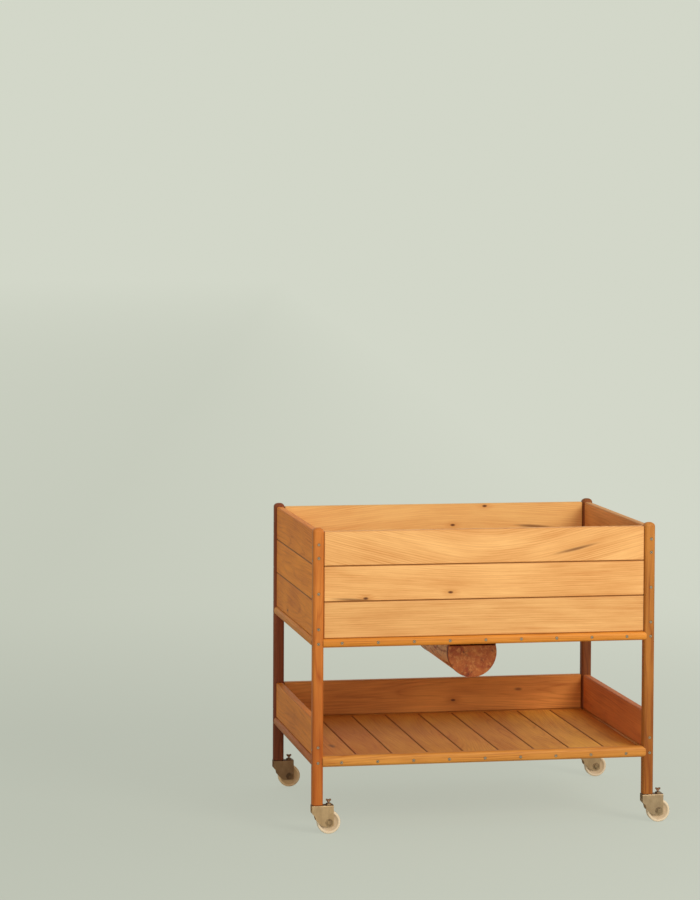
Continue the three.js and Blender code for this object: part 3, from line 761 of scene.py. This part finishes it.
slats = slat_tree()
deck_nodes = {"shelf": [f"shelf_slat_{i}" for i in range(1, SLAT_COUNT + 1)], "box_floor": ["box_floor"]}
for seed, (deck, (pale, deep)) in enumerate(DECK_TONES.items()):
    corners = [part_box(node) for node in deck_nodes[deck]]
    low, high = corners[0][0], corners[-1][1]
    pitch = (high.x - low.x + SLAT_GAP) / SLAT_COUNT
    wood = deck_robinia(deck + "_robinia", low, high, pitch, pale, deep, 5 + 20 * seed)
    first = Vector((low.x + (pitch - SLAT_GAP) / 2, (low.y + high.y) / 2, (low.z + high.z) / 2))
    sizes = {
        "Count": SLAT_COUNT, "Pitch": pitch, "Width": pitch - SLAT_GAP, "Thickness": high.z - low.z,
        "Length": high.y - low.y, "Easing": SLAT_EDGE, "First": first, "Wood": wood,
    }
    mesh = shaded(run_tree(slats, sizes), 32)
    slot = "shelf_robinia" if deck == "shelf" else "light_robinia"
    finish_piece(deck + "_slats", mesh, wood, "planter", slot, *deck_nodes[deck])

# ---- Wood screws ----
# Small zinc-plated screws with a six-lobed recess: seven down each outer face of a post, nine along
# each front and back rail where the slats are, and four in each flange of the trough, from below.
SCREW_RADIUS = 0.0034
SCREW_PROUD = 0.0004
SCREW_SIDES = 14
# The dark ring of painted shade round each head reaches SINK_SHARE of the head's radius.
RECESS_INNER, RECESS_OUTER, SINK_SHARE = 0.36, 0.58, 1.28
SCREW_LEVELS = (0.7928, 0.7557, 0.6583, 0.5614, 0.5216, 0.2383, 0.1959)
SCREW_SIDE_DROP = 0.008
SCREW_SHIFTS = {"front_right": 0.003}
SCREW_ABOVE_UNDERSIDE = 0.0123
FLANGE_SCREWS = (-0.18, -0.06, 0.06, 0.18)
FLANGE_SCREW_INSET = 0.008
TROUGH_SHEET = 0.0014
SCREW_ZINC = (0.50, 0.38, 0.25)
SCREW_PAINTED_SHADE = (0.030, 0.022, 0.016)


def gathered(tree, *parts):
    """Several shapes of a tree as one."""
    node = put(tree, "GeometryNodeJoinGeometry")
    for part in parts:
        plug(tree, node, "Geometry", part)
    return node


def ring_of(tree, radius):
    return put(tree, "GeometryNodeCurvePrimitiveCircle", {"Resolution": SCREW_SIDES, "Radius": radius})


def filled(tree, curve):
    return put(tree, "GeometryNodeFillCurve", {"Curve": curve})


def screw_tree():
    """A round head with a star-shaped recess at every point, turned to where the point faces. A flat star
    at the bottom of the recess and a flat ring round the head are marked for painted shade.
    """
    tree, given = new_tree("wood_screws", "GeometryNodeTree", {
        "Geometry": "Geometry", "Radius": "Float", "Proud": "Float", "Seed": "Int", "Steel": "Material",
    }, {"Geometry": "Geometry"})
    shares = (RECESS_INNER, RECESS_OUTER, SINK_SHARE)
    inner, outer, wide = (times(tree, given["Radius"], share) for share in shares)
    star = put(tree, "GeometryNodeCurveStar", {"Points": 6, "Inner Radius": inner, "Outer Radius": outer})
    crown = filled(tree, gathered(tree, ring_of(tree, given["Radius"]), star))
    up = put(tree, "ShaderNodeCombineXYZ", {"Z": 1.0})
    head = {"Mesh": crown, "Offset": up, "Offset Scale": given["Proud"], "Individual": False}
    head = put(tree, "GeometryNodeExtrudeMesh", head)
    # Painted shade: a flat star in the recess and a ring round the head, to be coloured dark.
    dark = gathered(tree, filled(tree, star), filled(tree, ring_of(tree, wide)))
    dark = {"Geometry": dark, "Name": "painted_screw_shade", "Value": 1.0}
    dark = put(tree, "GeometryNodeStoreNamedAttribute", dark, domain="FACE")
    screw = gathered(tree, head, dark)
    facing = put(tree, "GeometryNodeInputNamedAttribute", {"Name": "facing"}, data_type="FLOAT_VECTOR")
    square = put(tree, "FunctionNodeAlignRotationToVector", {"Vector": facing}, axis="Z")
    driven = {2: 0.0, 3: math.tau, 8: given["Seed"]}
    driven = put(tree, "FunctionNodeRandomValue", driven, data_type="FLOAT").outputs[1]
    turn = put(tree, "FunctionNodeAxisAngleToRotation", {"Axis": (0, 0, 1), "Angle": driven})
    turned = {"Rotation": square, "Rotate By": turn}
    turned = put(tree, "FunctionNodeRotateRotation", turned, rotation_space="LOCAL")
    row = {"Points": given["Geometry"], "Instance": screw, "Rotation": turned}
    return hand_out(tree, put(tree, "GeometryNodeInstanceOnPoints", row), given["Steel"])


def screw_places():
    """Where each screw sits and which way it faces."""
    places = []
    for corner in POST_TONES:
        low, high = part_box("post_" + corner)
        middle = (low + high) / 2
        shift = SCREW_SHIFTS.get(corner, 0.0)
        front, front_face = (-1, low.y) if corner.startswith("front") else (1, high.y)
        left, side_face = (-1, low.x) if corner.endswith("left") else (1, high.x)
        for z in SCREW_LEVELS:
            places.append(((middle.x + shift, front_face, z), (0, front, 0)))
            places.append(((side_face, middle.y, z - SCREW_SIDE_DROP), (left, 0, 0)))
    deck_low, deck_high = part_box("shelf_slat_1")[0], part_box(f"shelf_slat_{SLAT_COUNT}")[1]
    pitch = (deck_high.x - deck_low.x + SLAT_GAP) / SLAT_COUNT
    for level in ("upper", "lower"):
        for side, way in (("front", -1), ("back", 1)):
            low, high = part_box(f"{level}_rail_{side}")
            face = low.y - RAIL_PROUD if way < 0 else high.y + RAIL_PROUD
            for i in range(SLAT_COUNT):
                x = deck_low.x + (i + 0.5) * pitch - SLAT_GAP / 2
                places.append(((x, face, low.z + SCREW_ABOVE_UNDERSIDE), (0, way, 0)))
    low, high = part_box("trough_shell")
    for x in (low.x + FLANGE_SCREW_INSET, high.x - FLANGE_SCREW_INSET):
        places += [((x, y, high.z - TROUGH_SHEET), (0, 0, -1)) for y in FLANGE_SCREWS]
    return places


def screw_steel():
    material, tree, shader = new_material("screw_zinc")
    plug(tree, shader, "Metallic", 0.5)
    painted_screw_shade = put(tree, "ShaderNodeAttribute", attribute_name="painted_screw_shade").outputs["Fac"]
    dull = grain(tree, object_place(tree), (900.0, 900.0, 900.0), 2.0)
    # Painted shade in the recess and round the head.
    plug(tree, shader, "Base Color", blend(tree, painted_screw_shade, SCREW_ZINC, SCREW_PAINTED_SHADE))
    plug(tree, shader, "Roughness", scaled(tree, dull, 0.3, 0.3))
    return material


places = screw_places()
points = bpy.data.meshes.new("screw_places")
points.from_pydata([place for place, _ in places], [], [])
facing = points.attributes.new("facing", "FLOAT_VECTOR", "POINT")
for i, (_, way) in enumerate(places):
    facing.data[i].vector = way
zinc = screw_steel()
sizes = {"Radius": SCREW_RADIUS, "Proud": SCREW_PROUD, "Seed": 7, "Steel": zinc}
mesh = run_tree(screw_tree(), sizes, points)
finish_piece("wood_screws", mesh, zinc, "planter", "zinc_steel")

# ---- Drip trough ----
# Bent from copper sheet and hung by two flanges under the box floor. Each end is closed by a pressed
# cap, soldered over the sheet; the copper has gone brown and mottled, and it is dark along the seam
# behind each cap, partly solder tarnish and partly painted shade of the cap's edge.
TROUGH_RADIUS = 0.069
TROUGH_WRAP = math.radians(14)
TROUGH_STEPS = 64
CAP_ABOVE_CENTRE = 0.0195
CAP_SKIRT = 0.012
CAP_OVER_SHEET = 0.0010
CAP_CREASE = 0.0028
CAP_CREASE_STEPS = 5
CAP_FACE = ((0.88, 0.0004), (0.6, 0.00098), (0.3, 0.00133), (0.06, 0.0014))
CAP_HEART = Vector((0, 0, -0.022))
SEAM_AT, SEAM_FADE = 0.2105, (0.0075, 0.0030)
SHEET_FADE = (0.2030, 0.1980)
COPPER_BROWN = (0.500, 0.135, 0.031)
COPPER_RED = (0.340, 0.063, 0.017)
COPPER_BRIGHT = (0.660, 0.250, 0.065)
COPPER_TAN = (0.960, 0.560, 0.230)
COPPER_DARK = (0.085, 0.026, 0.014)


def trough_arc(middle, radius, highest, y):
    """Points from the left down and round to the right, up to a height over the centre."""
    wrap = math.asin(highest / radius)
    points = []
    for step in range(TROUGH_STEPS + 1):
        angle = math.pi - wrap + step / TROUGH_STEPS * (math.pi + 2 * wrap)
        points.append(middle + Vector((radius * math.cos(angle), y, radius * math.sin(angle))))
    return points


def trough_mesh(low, high, middle):
    """The sheet: a flange and a neck at each side, and the round between them."""
    highest = TROUGH_RADIUS * math.sin(TROUGH_WRAP)
    under = high.z - TROUGH_SHEET
    rings = []
    for y in (high.y, low.y):
        outer = trough_arc(middle, TROUGH_RADIUS, highest, y)
        inner = trough_arc(middle, TROUGH_RADIUS - TROUGH_SHEET, highest, y)
        left = ((low.x, high.z), (low.x, under), (outer[0].x, under))
        right = ((outer[-1].x, under), (high.x, under), (high.x, high.z), (inner[-1].x, high.z))
        left, right = ([Vector((x, y, z)) for x, z in flange] for flange in (left, right))
        rings.append(left + outer + right + inner[::-1] + [Vector((inner[0].x, y, high.z))])
    return skin(rings)


def cap_mesh(middle, y, way):
    """A shallow lid over one end; way is -1 for the front one and 1 for the back one."""
    profile = [(1.0, -CAP_SKIRT)]
    for step in range(CAP_CREASE_STEPS + 1):
        angle = math.radians(90 * step / CAP_CREASE_STEPS)
        inset = CAP_CREASE * (1 - math.cos(angle))
        profile.append((1.0 - inset / TROUGH_RADIUS, CAP_CREASE * (math.sin(angle) - 1)))
    outline = trough_arc(Vector((0, 0, 0)), TROUGH_RADIUS + CAP_OVER_SHEET, CAP_ABOVE_CENTRE, 0.0)
    rings = []
    for share, out in (*profile, *CAP_FACE):
        ring = [middle + CAP_HEART + (point - CAP_HEART) * share for point in outline]
        rings.append([Vector((point.x, y + way * out, point.z)) for point in ring])
    return skin(rings, 55)


def old_copper():
    material, tree, shader = new_material("old_copper")
    where = object_place(tree)
    clouds = grain(tree, where, (26.0, 9.0, 26.0), 5.0, 0.62)
    spots = grain(tree, where, (95.0, 60.0, 95.0), 4.0, 0.7)
    runs = grain(tree, where, (60.0, 30.0, 60.0), 3.0, 0.6)
    streaky = grain(tree, where, (30.0, 12.0, 70.0), 4.0, 0.65)
    out = reckon(tree, "ABSOLUTE", split(tree, where)["Y"])
    colour = blend(tree, fade(tree, clouds, 0.40, 0.62), COPPER_BROWN, COPPER_RED)
    colour = blend(tree, fade(tree, spots, 0.46, 0.70, 0.0, 0.7), colour, COPPER_BRIGHT)
    worn = times(tree, fade(tree, out, *SHEET_FADE), fade(tree, streaky, 0.36, 0.52))
    colour = blend(tree, worn, colour, COPPER_TAN)
    colour = blend(tree, fade(tree, runs, 0.56, 0.74, 0.0, 0.7), colour, COPPER_DARK)
    # The dark band at the rear edge of each cap's skirt is partly solder tarnish and partly painted shade.
    from_seam = reckon(tree, "ABSOLUTE", reckon(tree, "SUBTRACT", out, SEAM_AT))
    colour = blend(tree, fade(tree, from_seam, *SEAM_FADE, 0.0, 0.85), colour, COPPER_DARK)
    plug(tree, shader, "Base Color", colour)
    plug(tree, shader, "Metallic", 0.45)
    plug(tree, shader, "Roughness", fade(tree, spots, 0.3, 0.7, 0.62, 0.42))
    raise_grain(tree, shader, 0.3, 0.001, clouds)
    return material


copper = old_copper()
low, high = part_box("trough_shell")
middle = Vector(((low.x + high.x) / 2, 0, low.z + TROUGH_RADIUS))
finish_piece("trough_sheet", trough_mesh(low, high, middle), copper, "planter", "copper", "trough_shell")
for side, face, way in (("front", low.y, -1), ("back", high.y, 1)):
    lid = cap_mesh(middle, face, way)
    finish_piece("trough_lid_" + side, lid, copper, "planter", "copper", "trough_cap_" + side)

# ---- Caster forks ----
# Stamped and bent from thick zinc-plated sheet into a channel open at the bottom, with a nut fixed on
# top over the wheel. The plating has gone dull; the caster behind left is darker and browner, which is
# painted shade.
AXLE = Vector((0.032, 0, 0.032))
FORK_TOP = 0.079
FORK_HALF = 0.0132
FORK_SHEET = 0.0022
FORK_UNDER = FORK_TOP - FORK_SHEET
FORK_SIDE = (
    (-0.0155, 0.0790, 0), (-0.0155, 0.0570, 0.0020), (-0.0060, 0.0475, 0.0020), (-0.0042, 0.0370, 0.0040),
    (0.0140, 0.0210, 0.007), (0.0445, 0.0210, 0.004), (0.0445, 0.0790, 0),
)
FORK_BEND_INSIDE, FORK_BEND_OUTSIDE = 0.0018, 0.004
AXLE_HOLE, PIN_HOLE, BRAKE_HOLE = 0.0043, 0.0043, 0.0028
BRAKE_NUT_TOP = 0.0832
ZINC_LIGHT = (0.560, 0.400, 0.235)
ZINC_DULL = (0.440, 0.305, 0.175)
ZINC_RUST_AND_SHADE = (0.085, 0.036, 0.018)
# How each caster's steel is toned; the darker, browner steel behind left is painted shade.
CORNER_WEAR_AND_SHADE = {
    "front_left": (1.04, 0.97, 0.84), "front_right": (0.86, 0.84, 0.80),
    "back_left": (0.62, 0.48, 0.36), "back_right": (0.95, 0.90, 0.80),
}


def curved(corners, steps=7):
    """An outline through corners (u, v, r); where r is given, the corner is rounded off from there."""
    points = []
    for i, (u, v, r) in enumerate(corners):
        here = Vector((u, v))
        if not r:
            points.append(here)
            continue
        before = Vector(corners[i - 1][:2])
        after = Vector(corners[(i + 1) % len(corners)][:2])
        enter = here + (before - here).normalized() * r
        leave = here + (after - here).normalized() * r
        for step in range(steps + 1):
            share = step / steps
            points.append(enter.lerp(here, share).lerp(here.lerp(leave, share), share))
    return points


def turned_solid(profile, axis, centre=(0, 0, 0), sides=32, turn=0.0):
    """A solid turned about the y or z axis from a profile of (radius, height), from low to high."""
    rings = []
    for radius, height in profile:
        angles = [math.tau * (i + turn) / sides for i in range(sides)]
        points = [(radius * math.cos(angle), radius * math.sin(angle)) for angle in angles]
        if axis == "z":
            rings.append([Vector(centre) + Vector((u, v, height)) for u, v in points])
        else:
            rings.append([Vector(centre) + Vector((u, height, v)) for u, v in points])
    return skin(rings)


def carved(mesh, *tools):
    """A mesh worked by other meshes, each given with how: kept in common, cut away or added."""
    worked = show(bpy.data.objects.new("worked", mesh))
    helpers = []
    for how, tool in tools:
        helper = show(bpy.data.objects.new("helper", tool))
        step = worked.modifiers.new(how, "BOOLEAN")
        step.operation = how
        step.object = helper
        helpers.append(helper)
    result = as_plain_mesh(worked)
    for helper in helpers:
        tool = helper.data
        bpy.data.objects.remove(helper)
        bpy.data.meshes.remove(tool)
    return shaded(result)


def fork_mesh():
    inner = FORK_HALF - FORK_SHEET
    channel = curved((
        (-FORK_HALF, 0, 0), (-inner, 0, 0), (-inner, FORK_UNDER, FORK_BEND_INSIDE),
        (inner, FORK_UNDER, FORK_BEND_INSIDE), (inner, 0, 0), (FORK_HALF, 0, 0),
        (FORK_HALF, FORK_TOP, FORK_BEND_OUTSIDE), (-FORK_HALF, FORK_TOP, FORK_BEND_OUTSIDE),
    ))
    bent = skin([[Vector((x, u, v)) for u, v in channel] for x in (-0.03, 0.06)])
    side = skin([[Vector((u, y, v)) for u, v in curved(FORK_SIDE)] for y in (-0.02, 0.02)])
    over_wheel = (AXLE.x, 0, 0)
    nut = (0.0080, FORK_UNDER + 0.0004), (0.0080, BRAKE_NUT_TOP - 0.0007), (0.0070, BRAKE_NUT_TOP)
    tools = [("INTERSECT", side), ("UNION", turned_solid(nut, "z", over_wheel, 6))]
    for radius, centre in ((PIN_HOLE, (0, 0, 0)), (BRAKE_HOLE, over_wheel)):
        hole = ((radius, FORK_UNDER - 0.01), (radius, FORK_TOP + 0.01))
        tools.append(("DIFFERENCE", turned_solid(hole, "z", centre)))
    tools.append(("DIFFERENCE", turned_solid(((AXLE_HOLE, -0.02), (AXLE_HOLE, 0.02)), "y", AXLE)))
    return carved(bent, *tools)


def toned_down(colour, shares):
    return [value * share for value, share in zip(colour, shares)]


def zinc_steel(name, light, dull, pitted=0.0, metal=0.5):
    """Zinc plate gone dull: faintly cloudy, with brown tarnish in its pits, and painted shade in the same
    brown on what faces up or away from the axle."""
    material, tree, shader = new_material(name)
    coordinates = put(tree, "ShaderNodeTexCoord").outputs
    clouds = grain(tree, coordinates["Object"], (60.0, 60.0, 40.0), 4.0, 0.6)
    pits = grain(tree, coordinates["Object"], (420.0, 420.0, 420.0), 3.0, 0.6)
    facing = split(tree, coordinates["Normal"])
    colour = blend(tree, fade(tree, clouds, 0.35, 0.65), light, dull)
    colour = blend(tree, fade(tree, pits, 0.58, 0.85, pitted, 0.5), colour, ZINC_RUST_AND_SHADE)
    # Painted shade: faces turned up, and faces turned away from the axle, darken towards the rust brown.
    colour = blend(tree, fade(tree, facing["Z"], 0.45, 0.95, 0.0, 0.85), colour, ZINC_RUST_AND_SHADE)
    colour = blend(tree, fade(tree, facing["X"], -0.5, -0.95, 0.0, 0.7), colour, ZINC_RUST_AND_SHADE)
    plug(tree, shader, "Base Color", colour)
    plug(tree, shader, "Roughness", fade(tree, clouds, 0.3, 0.7, 0.38, 0.52))
    plug(tree, shader, "Metallic", metal)
    raise_grain(tree, shader, 0.1, 0.0003, pits)
    return material


# ---- Axle bolts ----
# A hexagon bolt through each fork and its wheel, with a broad washer and a chamfered hexagon outside
# each plate. The bolt's end stands out of the nut.
BOLT_GAP = 0.0003
BOLT_WASHER = 0.0012
BOLT_HEAD = 0.0026
NUT_LOWER = 0.0009
BOLT_SHANK = 0.004
BOLT_DULLER = (0.6, 0.6, 0.6)


def joined(*meshes):
    """Several closed shells in one mesh."""
    shape = bmesh.new()
    for mesh in meshes:
        shape.from_mesh(mesh)
        bpy.data.meshes.remove(mesh)
    return shaded(made_mesh(shape))


def axle_mesh():
    plate = FORK_HALF + BOLT_GAP
    collar = plate + BOLT_WASHER
    head = collar + BOLT_HEAD
    shank = ((BOLT_SHANK, -plate - BOLT_GAP), (BOLT_SHANK, plate + BOLT_GAP))
    pieces = [turned_solid(shank, "y", AXLE)]
    for way, face in ((-1, head), (1, head - NUT_LOWER)):
        washer = (0.0096, plate), (0.010, plate + 0.0003), (0.010, collar - 0.0004), (0.0096, collar)
        hexagon = (0.0063, collar - 0.0003), (0.0065, collar), (0.0065, face - 0.0007), (0.0056, face)
        for profile, sides, turn in ((washer, 40, 0.0), (hexagon, 6, 0.2)):
            profile = [(radius, way * height) for radius, height in profile]
            pieces.append(turned_solid(profile, "y", AXLE, sides, turn))
    tip = ((0.0037, plate), (0.0037, head - 0.0003), (0.0034, head))
    pieces.append(turned_solid(tip, "y", AXLE, 20))
    return joined(*pieces)


# ---- Wheels ----
# Moulded from cream nylon, with a hub, a thinner web and a rim with round shoulders. The rims are
# paler than the webs, and the wheel behind left has yellowed the most.
WHEEL_RADIUS = 0.032
WHEEL_HALF = 0.010
WHEEL_SHOULDER = 0.003
WHEEL_SHOULDER_STEPS = 6
WHEEL_SIDES = 72
WHEEL_SIDE = (
    (0.0043, 0.010), (0.0086, 0.010), (0.0093, 0.0096), (0.0118, 0.0071),
    (0.0226, 0.0069), (0.0256, 0.0095), (0.0263, 0.010),
)
NYLON_FACE = (0.660, 0.465, 0.270)
NYLON_RIM = (0.880, 0.690, 0.465)
NYLON_DIRT = (0.360, 0.235, 0.130)
WHEEL_WEAR = {
    "front_left": (0.98, 0.98, 0.98), "front_right": (0.95, 0.95, 0.95),
    "back_left": (1.05, 0.90, 0.68), "back_right": (0.98, 0.98, 0.98),
}


def wheel_mesh():
    """The wheel, which records at each of its points how far out that is."""
    side = list(WHEEL_SIDE)
    for step in range(WHEEL_SHOULDER_STEPS + 1):
        angle = math.radians(90 * step / WHEEL_SHOULDER_STEPS)
        radius = WHEEL_RADIUS - WHEEL_SHOULDER * (1 - math.sin(angle))
        side.append((radius, WHEEL_HALF - WHEEL_SHOULDER * (1 - math.cos(angle))))
    loop = side + [(radius, -height) for radius, height in side[::-1]]
    shape = bmesh.new()
    rows = []
    for i in range(WHEEL_SIDES):
        angle = math.tau * i / WHEEL_SIDES
        way = Vector((math.cos(angle), 0, math.sin(angle)))
        places = [AXLE + way * radius + Vector((0, height, 0)) for radius, height in loop]
        rows.append([shape.verts.new(place) for place in places])
    for i, row in enumerate(rows):
        following = rows[(i + 1) % WHEEL_SIDES]
        for j in range(len(loop)):
            k = (j + 1) % len(loop)
            shape.faces.new((row[j], row[k], following[k], following[j]))
    bmesh.ops.recalc_face_normals(shape, faces=shape.faces[:])
    mesh = shaded(made_mesh(shape), 50)
    reach = mesh.attributes.new("reach", "FLOAT", "POINT")
    for vertex in mesh.vertices:
        reach.data[vertex.index].value = (vertex.co - AXLE).length / WHEEL_RADIUS
    return mesh


def cream_nylon(name, share):
    material, tree, shader = new_material(name)
    reach = put(tree, "ShaderNodeAttribute", attribute_name="reach").outputs["Fac"]
    dirt = grain(tree, object_place(tree), (130.0, 130.0, 130.0), 4.0, 0.65)
    face, rim, grime = (toned_down(colour, share) for colour in (NYLON_FACE, NYLON_RIM, NYLON_DIRT))
    colour = blend(tree, fade(tree, reach, 0.78, 0.93), face, rim)
    colour = blend(tree, fade(tree, dirt, 0.55, 0.85, 0.0, 0.5), colour, grime)
    plug(tree, shader, "Base Color", colour)
    plug(tree, shader, "Roughness", fade(tree, dirt, 0.3, 0.7, 0.38, 0.6))
    plug(tree, shader, "Specular IOR Level", 0.45)
    return material


# ---- Swivel pins ----
# The pin on which each fork turns, screwed up into the post's foot. Its flat round head lies under
# the fork's top plate and holds the fork to the post.
PIN_RADIUS = 0.0040
PIN_HEAD_RADIUS = 0.0075
PIN_GAP = 0.0003


def pin_mesh():
    head = FORK_UNDER - PIN_GAP
    return turned_solid((
        (0.0068, head - 0.0030), (PIN_HEAD_RADIUS, head - 0.0023), (PIN_HEAD_RADIUS, head - 0.0004),
        (0.0072, head), (PIN_RADIUS, head), (PIN_RADIUS, FORK_TOP + 0.0385), (0.0030, FORK_TOP + 0.0405),
    ), "z")


# ---- Brake screws ----
# A winged screw in the nut over each wheel, screwed down on to the tyre to hold it: a threaded shank,
# a tapered boss and two wings that meet in a dip. Browner than the forks.
BRAKE_ABOVE_TYRE = 0.0028
BRAKE_HEAD = FORK_TOP + 0.007
BRAKE_THREAD = 0.001
BRAKE_CREST, BRAKE_ROOT = 0.0025, 0.0021
BRAKE_BLADE_HALF = 0.0013
BRAKE_BOSS = ((0.0040, 0), (0.0043, 0.0004), (0.0034, 0.0042), (0.0028, 0.0050))
BRAKE_WINGS = (
    (-0.0030, 0.0020, 0.0008), (0.0030, 0.0020, 0.0008), (0.00725, 0.0040, 0.0020),
    (0.00725, 0.0090, 0.0022), (0.0026, 0.0086, 0.0018), (0, 0.0072, 0.0018),
    (-0.0026, 0.0086, 0.0018), (-0.00725, 0.0090, 0.0022), (-0.00725, 0.0040, 0.0020),
)
BRAKE_BROWN = (0.340, 0.165, 0.085)
BRAKE_DULLER = (0.8, 0.8, 0.8)


def brake_mesh():
    tip = 2 * WHEEL_RADIUS + BRAKE_ABOVE_TYRE
    shank = [(0.0016, tip), (0.0022, tip + 0.0006)]
    height = tip + 0.0012
    while height < BRAKE_HEAD - 0.0012:
        shank += [(BRAKE_CREST, height), (BRAKE_ROOT, height + BRAKE_THREAD / 2)]
        height += BRAKE_THREAD
    shank.append((BRAKE_ROOT, BRAKE_HEAD + 0.002))
    boss = [(radius, BRAKE_HEAD + up) for radius, up in BRAKE_BOSS]
    wings = curved([(u, BRAKE_HEAD + up, r) for u, up, r in BRAKE_WINGS], 4)
    over_wheel = Vector((AXLE.x, 0, 0))
    ends = (-BRAKE_BLADE_HALF, BRAKE_BLADE_HALF)
    blade = skin([[over_wheel + Vector((u, y, v)) for u, v in wings] for y in ends])
    return joined(turned_solid(shank, "z", over_wheel, 20), turned_solid(boss, "z", over_wheel, 24), blade)


# ---- The four casters, put together ----
# One caster under each post, all of the same shapes, with the wheel trailing to the right. Each has
# steel and nylon of its own, worn in its own way; the steel behind left is also darkened as painted shade.
CASTER_BODIES = {"fork": "caster_", "axle_bolt": "caster_", "wheel": "wheel_", "brake_screw": "brake_"}

caster_shapes = {
    "fork": fork_mesh(), "axle_bolt": axle_mesh(), "wheel": wheel_mesh(),
    "swivel_pin": pin_mesh(), "brake_screw": brake_mesh(),
}
for corner, wear_and_shade in CORNER_WEAR_AND_SHADE.items():
    light, dull = toned_down(ZINC_LIGHT, wear_and_shade), toned_down(ZINC_DULL, wear_and_shade)
    bolt = zinc_steel("bolt_zinc_" + corner, light, toned_down(dull, BOLT_DULLER), 0.2, 0.7)
    brake = toned_down(ZINC_DULL, BRAKE_DULLER)
    finishes = {
        "fork": zinc_steel("fork_zinc_" + corner, light, dull), "axle_bolt": bolt, "swivel_pin": bolt,
        "wheel": cream_nylon("cream_nylon_" + corner, WHEEL_WEAR[corner]),
        "brake_screw": zinc_steel("brake_zinc_" + corner, brake, BRAKE_BROWN, 0.35, 0.7),
    }
    low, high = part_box("post_" + corner)
    stand = Vector(((low.x + high.x) / 2, (low.y + high.y) / 2, 0))
    for node, shape in caster_shapes.items():
        mesh = shape.copy()
        mesh.transform(Matrix.Translation(stand))
        body = CASTER_BODIES[node] + corner if node in CASTER_BODIES else "planter"
        slot = "nylon" if node == "wheel" else "zinc_steel"
        finish_piece(f"{node}_{corner}_made", mesh, finishes[node], body, slot, f"{node}_{corner}")
for shape in caster_shapes.values():
    bpy.data.meshes.remove(shape)
